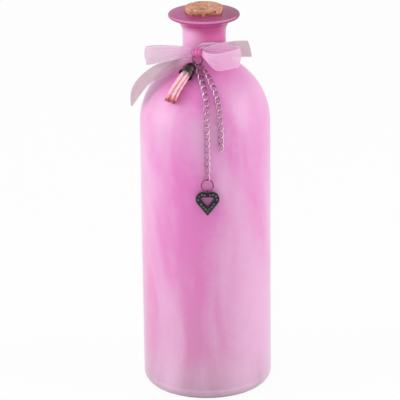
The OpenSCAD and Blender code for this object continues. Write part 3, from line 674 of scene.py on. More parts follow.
def through(stations, steps):
    """A smooth curve through rows of numbers, steps points between two rows."""
    p = np.asarray(stations, float)
    out = []
    for i in range(len(p) - 1):
        a, b, c, d = p[max(0, i - 1)], p[i], p[i + 1], p[min(len(p) - 1, i + 2)]
        for t in np.arange(steps) / steps:
            bend, twist = 2 * a - 5 * b + 4 * c - d, 3 * b - a - 3 * c + d
            out.append((2 * b + (c - a) * t + bend * t**2 + twist * t**3) / 2)
    return np.array(out + [p[-1]])


def along_line(line):
    """The length along a line at each of its points, and its direction there."""
    steps = np.linalg.norm(np.diff(line, axis=0), axis=1)
    return np.concatenate([[0], np.cumsum(steps)]), unit(np.gradient(line, axis=0))


def from_knot(points):
    """From the knot's own frame to the bottle's."""
    turn = math.radians(KNOT_AZ)
    spin = np.array([[math.cos(turn), -math.sin(turn), 0], [math.sin(turn), math.cos(turn), 0], [0, 0, 1]])
    return (np.asarray(points) + np.array([0, -knot_r, fillet_z])) @ spin.T


print("ribbon runs:", len(LEFT_LOOP), len(RIGHT_LOOP), len(LEFT_TAIL), len(RIGHT_TAIL), "stations")

# %% [markdown]
# The same cloth looks different along the bow, and that is painted into its colour. The
# tails that lie before the white ground get a greyer copy as painted shade, near the knot the
# pink light of the glass is painted on, and the knot itself is denser and its deepest pink is
# painted shade. So the cloth comes in four tints of one material, whose
# alpha is higher on the threads and on the woven edge.

# %% Organza material
THREADS_PER_MM = 2.6
DARKER = 0.82
# the pink light of the glass, painted onto the cloth near the bottle's middle, and the woven edge's colour
PAINTED_GLASS_PINK, SELVEDGE = (1.0, 0.58, 0.87), (1.0, 0.86, 0.94)


def organza(name, cloth_tint, cover, painted_pink=0.0, painted_pink_from=0.010, painted_pink_to=0.040):
    """Sheer cloth; cover is the alpha between threads, and the last three say how strongly and how near the
    middle the glass's pink light is painted on.
    """
    material, tree, shader = start_material(
        name, Roughness=0.45, Specular_IOR_Level=0.6, Sheen_Weight=0.5, Sheen_Roughness=0.35)
    place = add(tree, "UVMap", uv_map="cloth").outputs[0]
    thread, slub = use_group(tree, WEAVE, {"Place": place, "Threads": THREADS_PER_MM, "Ratio": 1.0})
    share = math_node("DIVIDE", xyz(place)["Y"], RIBBON_W)
    edge = math_node("ABSOLUTE", math_node("SUBTRACT", share, 0.5))
    selvedge = between(edge, 0.45, 0.475)
    colour = ramp(slub, (0.3, tuple(v * DARKER for v in cloth_tint)), (0.7, cloth_tint))
    aside = math_node("ABSOLUTE", xyz(own_place(tree))["X"])
    # painted pink light from the glass, near the bottle's middle
    near = times(one_less(between(aside, painted_pink_from, painted_pink_to)), painted_pink)
    colour = tint(selvedge, 0.5, mix(near, colour, PAINTED_GLASS_PINK), SELVEDGE)
    gaps = times_plus(near, 0.12, cover)
    threads = times_plus(thread, 0.22, gaps)
    alpha = math_node("MAXIMUM", threads, times(selvedge, 0.7), clamp=True)
    plug(shader.inputs["Alpha"], alpha)
    dress(shader, colour, relief=thread, strength=0.25, depth=0.08)
    return material


ORGANZA = organza("organza", (0.90, 0.60, 0.79), 0.18, 0.95)
# a darker, greyer copy of the cloth as painted shade, for the tails
ORGANZA_PAINTED_SHADE = organza("organza_painted_shade", (0.57, 0.33, 0.43), 0.42, 1.0, 0.014, 0.023)
ORGANZA_WRAP = organza("organza_wrap", (1.0, 0.62, 0.88), 0.66)
# the knot: denser cloth, and its deep pink is painted shade
ORGANZA_DENSE_PAINTED_SHADE = organza("organza_knot", (0.94, 0.17, 0.56), 0.75)
print("organza made:", ORGANZA.name, ORGANZA_PAINTED_SHADE.name, ORGANZA_WRAP.name, ORGANZA_DENSE_PAINTED_SHADE.name)


# %% Cloth
CLOTH_T = 0.14


def cloth(name, grid, along, node, material, closed=False):
    """Cloth over a grid of points in mm, with its UV map in mm and a thin solidify."""
    rows, count = grid.shape[:2]
    faces = grid_faces(rows, count, closed, False)
    piece = make_piece(name, grid, faces, "bottle", node, material)
    layer = lay_map(piece, "cloth", [(s, t) for s in along for t in np.linspace(0, RIBBON_W, count)])
    if closed:
        close_map(piece, layer, along)
    thick = piece.modifiers.new("thickness", "SOLIDIFY")
    thick.thickness = CLOTH_T * MM
    thick.offset = 0
    return piece


def close_map(piece, layer, along):
    """Lets the last faces of a closed band run on past its length, not back to its start."""
    for face in piece.data.polygons:
        corners = [layer.data[k].uv for k in face.loop_indices]
        if max(uv[0] for uv in corners) - min(uv[0] for uv in corners) > along[-1] / 2:
            for uv in corners:
                if uv[0] < along[-1] / 2:
                    uv[0] += along[-1] + along[1]


print("cloth is", CLOTH_T, "mm thick")

# %% Ribbon runs
# The small numbers inside the sines, here and in the wrap and the knot, only keep the gathers
# from being even.
CURVE_STEPS, SMOOTHING, RUN_ACROSS = 18, 60, 49
GATHER_MOST, GATHER_SHARE = 0.55, 0.16


def run(name, stations, reach, material, length, gathers, fade, ripple, seed, ends=(1, 0)):
    """One run of the bow; gathers are deepest at its ends that meet the knot."""
    line = through(np.asarray(stations, float) * ([reach, reach] + [RIBBON_W] * 4), CURVE_STEPS)
    for _ in range(SMOOTHING):
        line[1:-1] = (line[:-2] + 2 * line[1:-1] + line[2:]) / 4
    middle, half = line[:, :3], line[:, 3:]
    s, way = along_line(middle)
    lift = unit(np.cross(way, half))
    width = np.linalg.norm(half, axis=1)
    v = np.linspace(-1, 1, RUN_ACROSS)
    near = ends[0] * np.exp(-s / fade) + ends[1] * np.exp(-(s[-1] - s) / fade)
    crown = CROWN * np.minimum(1, 2 * width / RIBBON_W)
    grid = middle[:, None] + half[:, None] * v[None, :, None]
    grid += (crown[:, None] * (1 - v[None] ** 2))[..., None] * lift[:, None]
    wave = np.sin(v[None] * gathers * math.pi + seed + 0.7 * np.sin(2.2 * v[None] + seed))
    soft = np.sin(v[None] * 3.3 + s[:, None] / 6.5 + 2 * seed) * np.sin(s[:, None] / s[-1] * math.pi)
    depth = near[:, None] * wave * np.minimum(GATHER_MOST, width[:, None] * GATHER_SHARE) + ripple * soft
    grid += depth[..., None] * lift[:, None]
    return cloth(name, from_knot(grid), s, "ribbon_" + name, material)


# Name, stations, reach in mm, cloth, cut length in mm, gathers, fade in mm, ripple in mm, seed
# and, for a loop, that both ends meet the knot.
RUNS = (
    ("left_loop", LEFT_LOOP, 40, ORGANZA, 78, 5, 9, 0.30, 0.4, (1, 1)),
    ("right_loop", RIGHT_LOOP, 32, ORGANZA, 66, 5, 9, 0.28, 1.1, (1, 1)),
    ("left_tail", LEFT_TAIL, 52, ORGANZA_PAINTED_SHADE, 66, 4, 12, 0.30, 2.0),
    ("right_tail", RIGHT_TAIL, 34, ORGANZA_PAINTED_SHADE, 44, 5, 10, 0.25, 0.9))
for row in RUNS:
    made = run(*row)
    print(made.name, "is cut", row[4], "mm long and", RIBBON_W, "mm wide")

# %% [markdown]
# The wrap goes once round the neck, over the hollow curve. It is pulled together at the knot,
# rises a little right of it, and has slipped down at the sides and the back. Its two edges are
# tables of a turn from the knot and a height above the knot's middle, both eased.

# %% Wrap
WRAP_TURNS = (-180, -104, -76, -25, -10, 0, 7, 38, 84, 104, 180)
WRAP_TOPS = (-1.2, -2.4, -2.5, 0.4, 1.8, 3.2, 6.4, 6.3, 3.2, 1.1, -1.2)
WRAP_FEET = (-12.5, -12.5, -11.6, -6.4, -3.9, -3.3, -3.8, -8.0, -10.7, -11.2, -12.5)
WRAP_EASE = np.array([-5.0, -2.0, 0.0, 2.0, 5.0])
WRAP_ROWS, WRAP_ACROSS = 180, 33
GATHER_AT_KNOT, GATHER_ELSEWHERE, GATHER_FADE_DEG = 0.22, 0.12, 38


def wrap_grid():
    grid = np.empty((WRAP_ROWS, WRAP_ACROSS, 3))
    for i in range(WRAP_ROWS):
        turn = 360 * i / WRAP_ROWS - 180
        top, foot = (np.interp(turn + WRAP_EASE, WRAP_TURNS, edge, period=360).mean()
                     for edge in (WRAP_TOPS, WRAP_FEET))
        gather = GATHER_AT_KNOT * math.exp(-abs(turn) / GATHER_FADE_DEG) + GATHER_ELSEWHERE
        az = math.radians(KNOT_AZ + turn)
        for j in range(WRAP_ACROSS):
            v = 2 * j / (WRAP_ACROSS - 1) - 1
            z = fillet_z + foot + (top - foot) * (v + 1) / 2
            low = max(0, fillet_z - z)
            r = fillet_x - math.sqrt(FILLET_R**2 - low * low) + SEAT + WRAP_T / 2
            r += gather * math.sin(v * 9 + 0.5 * math.sin(turn / 17))
            grid[i, j] = (r * math.sin(az), -r * math.cos(az), z)
    return grid


wrap_length = math.tau * (NECK_R + SEAT + WRAP_T)
cloth("neck_wrap", wrap_grid(), np.linspace(0, wrap_length, WRAP_ROWS),
      "ribbon_neck_wrap", ORGANZA_WRAP, closed=True)
print("wrap length round the neck in mm:", round(wrap_length, 1))

# %% [markdown]
# The knot is the ribbon pulled tight round itself. It is a small barrel of cloth with deep
# gathers that run round it and turn in at both sides, where the loops come out.

# %% Knot
KNOT_ROWS, KNOT_ACROSS = 120, 57
TURN_IN_FROM, TURN_IN_MM, GATHER_DEPTH = 0.74, 1.3, 0.36


def knot_grid():
    grid = np.empty((KNOT_ROWS, KNOT_ACROSS, 3))
    for i in range(KNOT_ROWS):
        phi = math.tau * i / KNOT_ROWS
        for j in range(KNOT_ACROSS):
            v = 2 * j / (KNOT_ACROSS - 1) - 1
            inward = max(0, abs(v) - TURN_IN_FROM) / (1 - TURN_IN_FROM)
            x = KNOT_LEN / 2 * (min(abs(v), TURN_IN_FROM) / TURN_IN_FROM) * (1 if v > 0 else -1)
            x -= math.copysign(TURN_IN_MM * inward**2, v)
            bulge = 0.78 + 0.22 * math.cos(math.pi / 2 * min(1, abs(x) / (KNOT_LEN / 2)))
            r = KNOT_D / 2 * bulge * (1 - 0.55 * inward)
            r -= GATHER_DEPTH * (1 + math.sin(v * 13 + 1.2 * math.sin(phi + 1) + 0.4 * math.sin(3 * phi)))
            grid[i, j] = (x, r * math.cos(phi), r * math.sin(phi))
    return grid


knot = cloth("knot", from_knot(knot_grid()), np.linspace(0, math.pi * KNOT_D, KNOT_ROWS),
             "ribbon_knot", ORGANZA_DENSE_PAINTED_SHADE, closed=True)
print("knot faces:", len(knot.data.polygons))

# %% [markdown]
# ## The chains
# Each link is one closed wire, turned out of its plane at both ends, with its outer faces
# filed a little flat so that they flash. A finer link is made once, then laid on every link
# of the CAD chain: the middle and the three main directions of each CAD link are measured
# from its own points, so the links stay interlocked just as in the CAD model.

# %% One link
LINK_L, LINK_W, LINK_WIRE, LINK_TWIST = 7.15, 4.8, 0.9, 45.0
LINK_ALONG, LINK_SIDES = 56, 12
END_ROUNDING, SIDE_LENGTH, FILED = 0.85, 2.2, 0.84


def circle(count):
    return np.arange(count) / count * math.tau


def fine_link():
    """Points of one link, long side on Z, its width on X and its thickness on Y."""
    a, b = (LINK_W - LINK_WIRE) / 2, (LINK_L - LINK_WIRE) / 2
    t, k = circle(LINK_ALONG), circle(LINK_SIDES)
    x = a * np.sign(np.sin(t)) * np.abs(np.sin(t)) ** END_ROUNDING
    z = (b - a) * np.clip(SIDE_LENGTH * np.cos(t), -1, 1) + a * np.cos(t)
    twist = np.radians(LINK_TWIST * z / b)
    line = np.stack([x * np.cos(twist), x * np.sin(twist), z], 1)
    way = unit(np.roll(line, -1, 0) - np.roll(line, 1, 0))
    depth = np.stack([-np.sin(twist), np.cos(twist), 0 * twist], 1)
    side = unit(np.cross(way, depth))
    depth = np.cross(side, way)
    flat = np.clip(np.sin(k), -FILED, FILED)
    ring = side[:, None] * np.cos(k)[None, :, None] + depth[:, None] * flat[None, :, None]
    return line[:, None] + LINK_WIRE / 2 * ring


link_points = fine_link()
link_faces = np.array(grid_faces(LINK_ALONG, LINK_SIDES, True, True))
print("faces of one link:", len(link_faces))


# %% Solids of a CAD node
def solids(node):
    """Points of each separate solid of a CAD node, in mm, found by shared corners."""
    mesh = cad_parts[node].data
    points = np.array([v.co for v in mesh.vertices]) / MM
    keys, same = np.unique(np.round(points, 3), axis=0, return_inverse=True)
    same = same.ravel()
    parent = list(range(len(keys)))

    def root(i):
        while parent[i] != i:
            parent[i] = parent[parent[i]]
            i = parent[i]
        return i

    for edge in mesh.edges:
        a, b = root(same[edge.vertices[0]]), root(same[edge.vertices[1]])
        parent[a] = b
    groups = dict()
    for i in range(len(keys)):
        groups.setdefault(root(i), []).append(i)
    return [keys[g] for g in groups.values()]


print("links in the upper long run:", len(solids("long_chain_upper")))

# %% [markdown]
# Plated metal is one material in five finishes: silver for the chains, gunmetal for the pin,
# plum for the rings, black for the heart and bronze for the cap. The pink of the silver and the
# plum of the rings are painted reflection of the pink glass, and the sides of each chain wire
# are painted darker and pinker than its filed faces, as painted shade and painted reflection.

# %% Metal materials
FILED_FROM, FILED_TO = 0.25, 0.75


def metal(name, colour, dirt_and_shade, amount, base_rough, scale=900.0, coat=0.0, metallic=1.0, painted_side_shade=None):
    """Plated metal with grime and painted shade in its grooves; the last argument is the colour of painted
    shade on the sides of a filed wire.
    """
    material, tree, shader = start_material(name, Metallic=metallic, Coat_Weight=coat)
    given = {"Metal": (*colour, 1), "Dirt_and_shade": (*dirt_and_shade, 1), "Amount": amount, "Scale": scale}
    finish, worn, height = use_group(tree, WEAR_AND_GROOVE_SHADE, given)
    if painted_side_shade:
        # painted shade and painted reflection on the sides of the wire; the filed faces keep the metal's
        # colour
        face = xyz(add(tree, "UVMap", uv_map="wire").outputs[0])["X"]
        finish = mix(between(face, FILED_FROM, FILED_TO), painted_side_shade, finish)
    rough = math_node("ADD", worn, base_rough, clamp=True)
    dress(shader, finish, rough, height, 0.15, 0.05)
    return material


# silver tinted pink as painted reflection of the glass
SILVER_PAINTED_PINK = metal("silver_chain", (0.62, 0.40, 0.52), (0.16, 0.05, 0.10), 0.5, 0.04, painted_side_shade=(0.10, 0.02, 0.05))
GUNMETAL = metal("dark_metal", (0.10, 0.06, 0.08), (0.03, 0.015, 0.02), 0.5, 0.08)
# dark metal tinted plum as painted reflection of the pink glass
PLUM_PAINTED_REFLECTION = metal("plum_painted_reflection", (0.25, 0.07, 0.16), (0.10, 0.02, 0.06), 0.5, 0.08)
BLACK = metal("black_metal", (0.022, 0.022, 0.028), (0.006, 0.006, 0.008), 0.4, 0.02, 700.0, 0.12, 0.7)
BRONZE = metal("bronze", (0.052, 0.040, 0.036), (0.014, 0.008, 0.010), 0.15, 0.0, coat=0.35)
print("metals made:", SILVER_PAINTED_PINK.name, GUNMETAL.name, PLUM_PAINTED_REFLECTION.name, BLACK.name, BRONZE.name)


# %% Chains
def chain(name, node, body):
    points, faces = [], []
    for solid in solids(node):
        middle = solid.mean(0)
        down, across, depth = np.linalg.svd(solid - middle)[2]
        if np.dot(np.cross(across, depth), down) < 0:
            depth = -depth
        faces += (link_faces + len(points) * LINK_ALONG * LINK_SIDES).tolist()
        points.append(link_points.reshape(-1, 3) @ np.stack([across, depth, down]) + middle)
    piece = make_piece(name, np.vstack(points), faces, body, node, SILVER_PAINTED_PINK)
    shares = np.arange(len(piece.data.vertices)) % LINK_SIDES / LINK_SIDES
    lay_map(piece, "wire", [(abs(math.sin(share * math.tau)), share) for share in shares])
    return piece


for length in ("long", "short"):
    for place in ("upper", "middle", "lower") if length == "long" else ("upper", "lower"):
        made = chain(f"{length}_links_{place}", f"{length}_chain_{place}", f"{length}_{place}")
        print(made.name, "has", len(made.data.polygons) // len(link_faces), "links")

# %% [markdown]
# ## Rings and eye pin
# These are small bent pieces whose CAD shape is already right, so they keep it and get a
# plated finish: dark gunmetal for the pin, and for the two rings a plum tone that is painted
# reflection of the pink glass.

# %% Rings and pin
for node, material in (("hanging_ring", PLUM_PAINTED_REFLECTION), ("jump_ring", PLUM_PAINTED_REFLECTION), ("tassel_eye_pin", GUNMETAL)):
    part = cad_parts[node]
    part.data.materials.clear()
    part.data.materials.append(material)
    print(node, "finished in", material.name)

# %% [markdown]
# ## The tassel cap
# The cap is a thin bell of dark antique bronze with rolled ridges. Its axis is measured from
# the CAD cap: of the three main directions of a turned piece, two spread alike and the third
# is the axis. The same outline is then turned again with soft ridges and a finer surface.
# Each pair below is a share of the cap's width and of its height.

# %% Tassel cap
CAP_D, CAP_H, CAP_WALL, CAP_HOLE = 11.2, 11.5, 0.6, 0.5
CAP_DOME = [(0.22, 0), (0.50, 0.07), (0.68, 0.18), (0.78, 0.32), (0.81, 0.45)]
CAP_SIDE = [(0.81, 0.50), (0.87, 0.52), (0.87, 0.60), (0.82, 0.62), (0.84, 0.76), (0.90, 0.78),
            (0.90, 0.84), (0.88, 0.86), (0.92, 0.93), (1.00, 0.96), (1.00, 1.00)]
CAP_STEPS, CAP_AROUND = 5, 72


def turned_axis(points):
    """Middle of a turned piece and its axis, which points down."""
    middle = points.mean(0)
    _, spread, axes = np.linalg.svd(points - middle)
    way = axes[0] if spread[0] - spread[1] > spread[1] - spread[2] else axes[2]
    return middle, way if way[2] < 0 else -way


def cap_points():
    cad = solids("tassel_cap")[0]
    middle, way = turned_axis(cad)
    top = middle + way * ((cad - middle) @ way).min()
    outside = through([(CAP_HOLE / CAP_D * 2, 0)] + CAP_DOME + CAP_SIDE, CAP_STEPS) * [CAP_D / 2, CAP_H]
    inside = outside[::-CAP_STEPS] - [CAP_WALL, 0]
    inside = inside[(inside[:, 1] > CAP_WALL) & (inside[:, 0] > CAP_HOLE)]
    outline = np.vstack([outside, inside, [[inside[-1][0], CAP_WALL], [CAP_HOLE, CAP_WALL]]])
    side = unit(np.cross(way, [0.0, 0.0, 1.0]))
    k = circle(CAP_AROUND)[:, None]
    ring = side * np.cos(k) + np.cross(way, side) * np.sin(k)
    return top + outline[:, None, 1:] * way + outline[:, None, :1] * ring


points = cap_points()
faces = grid_faces(*points.shape[:2], True, True)
cap = make_piece("cap", points, faces, "tassel", "tassel_cap", BRONZE)
print("cap box in mm:", [round(v / MM, 1) for v in cap.dimensions])

# %% [markdown]
# ## The heart
# The charm is a flat open heart. Its face has a channel between two raised edges, and small
# cut stones stand in it. The band is swept round the heart: at each direction from a point
# inside, its section runs from the outer outline to the inner one, with rounded edges.

# %% Heart sizes
LOBE_R, LOBE_X, POINT_Z, BAND, HEART_T, HEART_RIM, CHANNEL = 5.4, 3.6, 13.3, 4.2, 2.4, 0.7, 0.4
BAIL_D, BAIL_WIRE, STONE_D = 3.8, 0.6, 1.7
OPENING_R = 1.5
OPENING_X = LOBE_X + LOBE_R - BAND - OPENING_R


def side_angle(x, r, h):
    """Angle of the straight side that runs from the point to a lobe."""
    return math.atan2(h, x) - math.asin(r / math.hypot(x, h))


HALF_ANGLE = math.pi / 2 - side_angle(LOBE_X, LOBE_R, POINT_Z)
OPENING_POINT = POINT_Z - BAND / math.sin(HALF_ANGLE)
print("half angle of the point in degrees:", round(math.degrees(HALF_ANGLE), 1))

# %% Heart outline
EYE = np.array([0.0, -2.0])
HEART_AROUND = 240
ALONGSIDE = 1e-9


def heart_reach(way, x, r, h, flat_top):
    """How far the outline lies from EYE along a unit direction."""
    best = 0.0
    for s in (-1, 1):
        to = EYE - np.array([s * x, 0])
        b = to @ way
        inside = b * b - to @ to + r * r
        if inside > 0:
            best = max(best, -b + math.sqrt(inside))
    a = side_angle(x, r, h)
    length = math.sqrt(x * x + h * h - r * r)
    end = np.array([length * math.cos(a), length * math.sin(a) - h])
    top = [[x, r], [-x, r]] if flat_top else [[x, 0], [-x, 0]]
    corners = np.array([[0, -h], end, *top, [-end[0], end[1]]])
    for p, q in zip(corners, np.roll(corners, -1, 0)):
        across = np.array([(q - p)[1], -(q - p)[0]])
        speed = across @ way
        if abs(speed) > ALONGSIDE:
            t = across @ (p - EYE) / speed
            hit = EYE + way * t
            if t > 0 and 0 <= (hit - p) @ (q - p) <= (q - p) @ (q - p):
                best = max(best, t)
    return best


turns = circle(HEART_AROUND)
ways = np.stack([np.sin(turns), np.cos(turns)], 1)
heart_outer = np.array([heart_reach(w, LOBE_X, LOBE_R, POINT_Z, False) for w in ways])
heart_inner = np.array([heart_reach(w, OPENING_X, OPENING_R, OPENING_POINT, True) for w in ways])
band = heart_outer - heart_inner
print("heart band in mm:", round(float(band.min()), 2), "to", round(float(band.max()), 2))

# %% Heart place
LONG_AZ = math.radians(1.2)
heart_low, heart_high = (np.array(corner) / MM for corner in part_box("heart_frame"))
heart_middle = (heart_low + heart_high) / 2
heart_middle[2] = heart_low[2] + POINT_Z


def from_heart(points):
    """From the charm's own frame (right, up, out of its face) to the bottle's."""
    right = [math.cos(LONG_AZ), math.sin(LONG_AZ), 0]
    out = [math.sin(LONG_AZ), -math.cos(LONG_AZ), 0]
    return heart_middle + np.asarray(points, float) @ np.array([right, [0, 0, 1], out])


print("heart middle in mm:", heart_middle.round(1))

# %% Heart band
EASE, RIM_SHARE = 0.22, 0.3
LOOP_ALONG, LOOP_AROUND = 48, 16


def band_section(outer, inner):
    """Section of the band from its outer outline to its inner one, as (place, height)."""
    half = HEART_T / 2
    rim = min(HEART_RIM, (outer - inner) * RIM_SHARE)
    floor = half - CHANNEL
    edge = [
        (EASE, -half), (0, -half + EASE), (0, half - EASE), (EASE * 0.3, half - EASE * 0.3), (EASE, half),
        (rim - EASE * 0.5, half), (rim, half - EASE * 0.4), (rim, floor)]
    return [(outer - x, z) for x, z in edge] + [(inner + x, z) for x, z in edge[::-1]]


def hanging_loop():
    """The small wire loop that stands in the cusp between the lobes."""
    cusp = math.sqrt(LOBE_R**2 - LOBE_X**2)
    wire_r = BAIL_WIRE / 2
    bail_r = BAIL_D / 2 - wire_r
    t, k = np.meshgrid(circle(LOOP_ALONG), circle(LOOP_AROUND), indexing="ij")
    r = bail_r + wire_r * np.cos(k)
    return np.stack([wire_r * np.sin(k), cusp + bail_r - wire_r + r * np.sin(t), r * np.cos(t)], 2)


sections = np.array([band_section(o, i) for o, i in zip(heart_outer, heart_inner)])
heart_points = np.concatenate([EYE + ways[:, None] * sections[..., :1], sections[..., 1:]], 2)
heart_faces = grid_faces(*heart_points.shape[:2], True, True)
loop_faces = grid_faces(LOOP_ALONG, LOOP_AROUND, True, True, heart_points.shape[0] * heart_points.shape[1])
points = np.vstack([from_heart(part).reshape(-1, 3) for part in (heart_points, hanging_loop())])
heart = make_piece("heart", points, heart_faces + loop_faces, "heart", "heart_frame", BLACK)
heart.modifiers.new("crisp edges", "WEIGHTED_NORMAL")
print("heart faces:", len(heart.data.polygons))

# %% [markdown]
# The stones are cut with eight facets round a flat top, and their feet stand on the floor of
# the channel. Their middles follow the middle line of the band, evenly spread, as in the CAD
# model. Flat shading keeps the facets sharp, so each one flashes on its own.

# %% Stone shapes
FACETS = 8
STONE_RINGS = ((0.30, 0.0, 0), (0.50, 0.16, 0.5), (0.50, 0.22, 0.5), (0.40, 0.36, 0), (0.28, 0.44, 0.5))
SIDE_SHARES, LOBE_DEGREES, LOBE_OUT = (0.24, 0.5, 0.76), (-8, 38, 82, 117), 0.25
STONE_SPIN = 0.37


def stone_places():
    """Middles of the stones along the band, as in the CAD source."""
    line_r = LOBE_R - BAND / 2
    line_h = POINT_Z - BAND / 2 / math.sin(HALF_ANGLE)
    a = side_angle(LOBE_X, line_r, line_h)
    length = math.sqrt(LOBE_X**2 + line_h**2 - line_r**2)
    out = [(0, -line_h)]
    for s in (-1, 1):
        out += [(s * t * length * math.cos(a), t * length * math.sin(a) - line_h) for t in SIDE_SHARES]
        for g in map(math.radians, LOBE_DEGREES):
            r = line_r + LOBE_OUT
            out.append((s * (LOBE_X + r * math.cos(g)), r * math.sin(g)))
    return out


def cut_stone(spin):
    """A round stone, ring by ring: share of its width, height in mm and twist in facets."""
    rings = []
    for radius, height, twist in STONE_RINGS:
        angle = (np.arange(FACETS) + twist + spin) / FACETS * math.tau
        r = STONE_D * radius
        rings.append(np.stack([r * np.cos(angle), r * np.sin(angle), np.full(FACETS, height)], 1))
    last = FACETS * (len(rings) - 1)
    faces = [list(range(FACETS))[::-1], list(range(last, last + FACETS))]
    for ring in range(len(rings) - 1):
        for k in range(FACETS):
            a, b = ring * FACETS + k, ring * FACETS + (k + 1) % FACETS
            c, d = a + FACETS, b + FACETS
            if ring == 0:
                faces += [[a, b, c], [b, d, c]]
            elif ring == 1:
                faces.append([a, b, d, c])
            else:
                faces += [[a, b, d], [a, d, c]]
    return np.vstack(rings), faces


print("faces of one stone:", len(cut_stone(0)[1]))

# %% Stones
STONE_TONES = ((0.35, (0.028, 0.036, 0.034)), (0.65, (0.16, 0.18, 0.17)))


def stone_material():
    material, tree, shader = start_material("stone", Roughness=0.05, IOR=1.5, Coat_Weight=0.2)
    given = {"Place": own_place(tree), "Scale": 700.0, "Streaks": 1.0, "Fine": 0.4}
    dress(shader, ramp(use_group(tree, CLOUDING, given)["Clouds"], *STONE_TONES))
    return material


points, faces = [], []
for i, (x, y) in enumerate(stone_places()):
    shape, sides = cut_stone(STONE_SPIN * i)
    faces += [[k + len(shape) * i for k in side] for side in sides]
    points.append(from_heart(shape + [x, y, HEART_T / 2 - CHANNEL]))
make_piece("stones", np.vstack(points), faces, "heart", "heart_stones", stone_material(), False)
print("stones:", len(points))

# %% [markdown]
# ## The tassel's strands
# Each strand is a thick satin cord of three plies that wind round each other. Its middle line
# is measured from the CAD strand: the solids come as rings of points, so sorting the points
# along the strand gives the ring middles, and a smooth curve runs through them.

# %% Strand shapes
STRAND_D, PLIES, PLY_TURN = 2.3, 3, 5.2
CAD_RING, STRAND_STEPS, STRAND_SIDES = 8, 10, 30
ACROSS_STRANDS = np.array([0.3, 1.0, 0.1])
END_MM, END_DROP, PLY_DEPTH = 0.9, 0.16, 0.10


def middle_line(solid):
    """Ring middles of one CAD strand, from its upper end to its lower one."""
    spread = solid - solid.mean(0)
    order = np.argsort(spread @ np.linalg.svd(spread)[2][0])
    middles = solid[order].reshape(-1, CAD_RING, 3).mean(1)
    return middles if middles[0][2] > middles[-1][2] else middles[::-1]


def strand(middles, phase):
    """Rings of points along one cord, which is a little thinner at its very end."""
    line = through(middles, STRAND_STEPS)
    s, way = along_line(line)
    side = unit(np.cross(way, ACROSS_STRANDS))
    up = np.cross(side, way)
    k = circle(STRAND_SIDES)
    points = np.empty((len(line), STRAND_SIDES, 3))
    for i in range(len(line)):
        end = min(1.0, (s[-1] - s[i]) / END_MM)
        bulge = 1 - END_DROP * (1 - end) ** 2 + 0.03 * math.sin(s[i] * 1.9 + phase)
        ply = 1 - PLY_DEPTH + PLY_DEPTH * np.cos(PLIES * (k - phase) - s[i] / PLY_TURN * math.tau)
        r = STRAND_D / 2 * bulge * ply
        points[i] = line[i] + side[i] * (r * np.cos(k))[:, None] + up[i] * (r * np.sin(k))[:, None]
    return points


print("CAD strands:", len(solids("tassel_strands")))

# %% [markdown]
# The cords are salmon pink satin, with paler patches painted on as highlights. Their last few
# millimetres are redder, and the cut ends have dark spots. All of
# it goes by the cord's own map, whose first number is the distance from the cut end.

# %% Satin
SATIN, SATIN_LIGHT, CORD_PAINTED_HIGHLIGHT = (1.0, 0.44, 0.54), (1.0, 0.68, 0.75), (1.0, 0.80, 0.83)
RED_END, DARK_SPOT = (0.90, 0.17, 0.18), (0.22, 0.01, 0.04)


def strand_material():
    material, tree, shader = start_material(
        "tassel_cord", Roughness=0.5, Sheen_Weight=0.6, Sheen_Roughness=0.3)
    place = add(tree, "UVMap", uv_map="cord").outputs[0]
    thread, slub = use_group(tree, WEAVE, {"Place": place, "Threads": 2.2, "Ratio": 0.5})
    length = xyz(place)["X"]
    satin = tint(thread, 0.7, SATIN, SATIN_LIGHT)
    # painted highlight in soft patches along the cord
    satin = tint(between(slub, 0.45, 0.7), 0.5, satin, CORD_PAINTED_HIGHLIGHT)
    satin = tint(between(length, -8.0, -4.0), 0.7, satin, RED_END)
    spots = add(tree, "TexNoise", {"Vector": place, "Scale": 0.55, "Detail": 1.0}).outputs[0]
    tip = between(times_plus(spots, 14.0, length), 3.6, 5.2)
    rough = times_plus(slub, 0.3, 0.32)
    dress(shader, tint(tip, 0.78, satin, DARK_SPOT), rough, thread, 0.4, 0.12)
    return material


SATIN_CORD = strand_material()
print("satin made:", SATIN_CORD.name)

# %% Strands
ROW_MM = 0.32
points, faces, places = [], [], []
for number, solid in enumerate(solids("tassel_strands")):
    shape = strand(middle_line(solid), 1.3 * number)
    rows, first = len(shape), sum(len(p) for p in points)
    upper_end = range(first, first + STRAND_SIDES)
    lower_end = range(first + (rows - 1) * STRAND_SIDES, first + rows * STRAND_SIDES)
    faces += grid_faces(rows, STRAND_SIDES, False, True, first) + [list(upper_end)[::-1], list(lower_end)]
    points.append(shape.reshape(-1, 3))
    places += [((i - rows) * ROW_MM, k / STRAND_SIDES * math.pi * STRAND_D)
               for i in range(rows) for k in range(STRAND_SIDES)]
points = np.vstack(points)
strands = make_piece("strands", points, faces, "tassel", "tassel_strands", SATIN_CORD)
lay_map(strands, "cord", places)
print("strands:", number + 1, "faces:", len(strands.data.polygons))

# %% [markdown]
# ## Floor, backdrop and light
# The product stands on a white floor before a white ground. The floor shows white to the
# camera, to reflections and through the glass, and keeps a little of its lit colour, so the
# bottle's shadow stays. The lamps are soft and plain: a broad one from the left and front,
# a weaker one from the right.

# %% Floor
FLOOR_HALF = 3.0
FLOOR_WHITE = 0.94
FLOOR_TONES = ((0.3, (0.84, 0.84, 0.85)), (0.7, (0.88, 0.88, 0.89)))


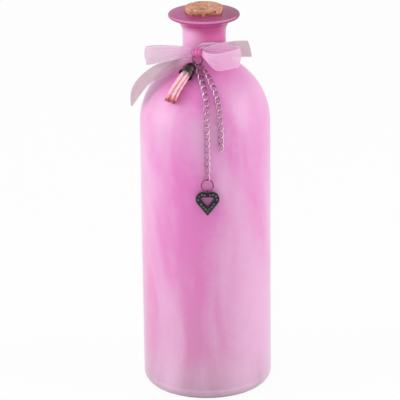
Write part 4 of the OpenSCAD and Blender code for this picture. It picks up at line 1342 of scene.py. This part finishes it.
def seen_rays(tree):
    """1 for what the camera sees straight, in a reflection or through the glass."""
    rays = add(tree, "LightPath").outputs
    seen = math_node("MAXIMUM", rays["Is Camera Ray"], rays["Is Glossy Ray"])
    return math_node("MAXIMUM", seen, rays["Is Transmission Ray"])


def floor_material():
    material, tree, shader = start_material("floor", Roughness=0.9)
    grain = add(tree, "TexNoise", {"Scale": 60.0})
    dress(shader, ramp(grain.outputs[0], *FLOOR_TONES))
    white = add(tree, "Emission", {"Color": (1, 1, 1, 1), "Strength": 1.0})
    share = times(seen_rays(tree), FLOOR_WHITE)
    both = add(tree, "MixShader", {"Fac": share, 1: shader.outputs[0], 2: white.outputs[0]})
    plug(tree.nodes["Material Output"].inputs["Surface"], both.outputs[0])
    return material


mesh = bpy.data.meshes.new("floor")
corners = [(x * FLOOR_HALF, y * FLOOR_HALF, 0) for x, y in ((-1, -1), (1, -1), (1, 1), (-1, 1))]
mesh.from_pydata(corners, [], [(0, 1, 2, 3)])
mesh.materials.append(floor_material())
new_object("floor", mesh)
print("floor is", 2 * FLOOR_HALF, "m wide")

# %% World
AMBIENT = 0.7


def make_world():
    """A ground that shows white and lights the bottle at the ambient level."""
    world = bpy.data.worlds.new("white ground")
    world.use_nodes = True
    tree = world.node_tree
    back = tree.nodes["Background"]
    back.inputs["Color"].default_value = (1, 1, 1, 1)
    strength = times_plus(seen_rays(tree), 1 - AMBIENT, AMBIENT)
    plug(back.inputs["Strength"], strength)
    return world


bpy.context.scene.world = make_world()
print("ambient level:", AMBIENT)

# %% Lamps
MIDDLE = Vector((0, 0, 0.16))
KEY_WATTS, FILL_WATTS = 9.0, 7.0


def lamp(name, place, size, power):
    """A broad soft lamp that faces the middle of the bottle; place and size in metres."""
    data = bpy.data.lights.new(name, "AREA")
    data.shape = "RECTANGLE"
    data.size, data.size_y = size
    data.energy = power
    thing = new_object(name, data)
    thing.location = place
    thing.rotation_euler = (MIDDLE - Vector(place)).to_track_quat("-Z", "Y").to_euler()


lamp("key", (-1.25, -0.35, 0.6), (0.6, 1.0), KEY_WATTS)
lamp("fill", (1.25, -0.3, 0.5), (0.5, 0.9), FILL_WATTS)
bpy.context.scene.view_settings.view_transform = "Standard"
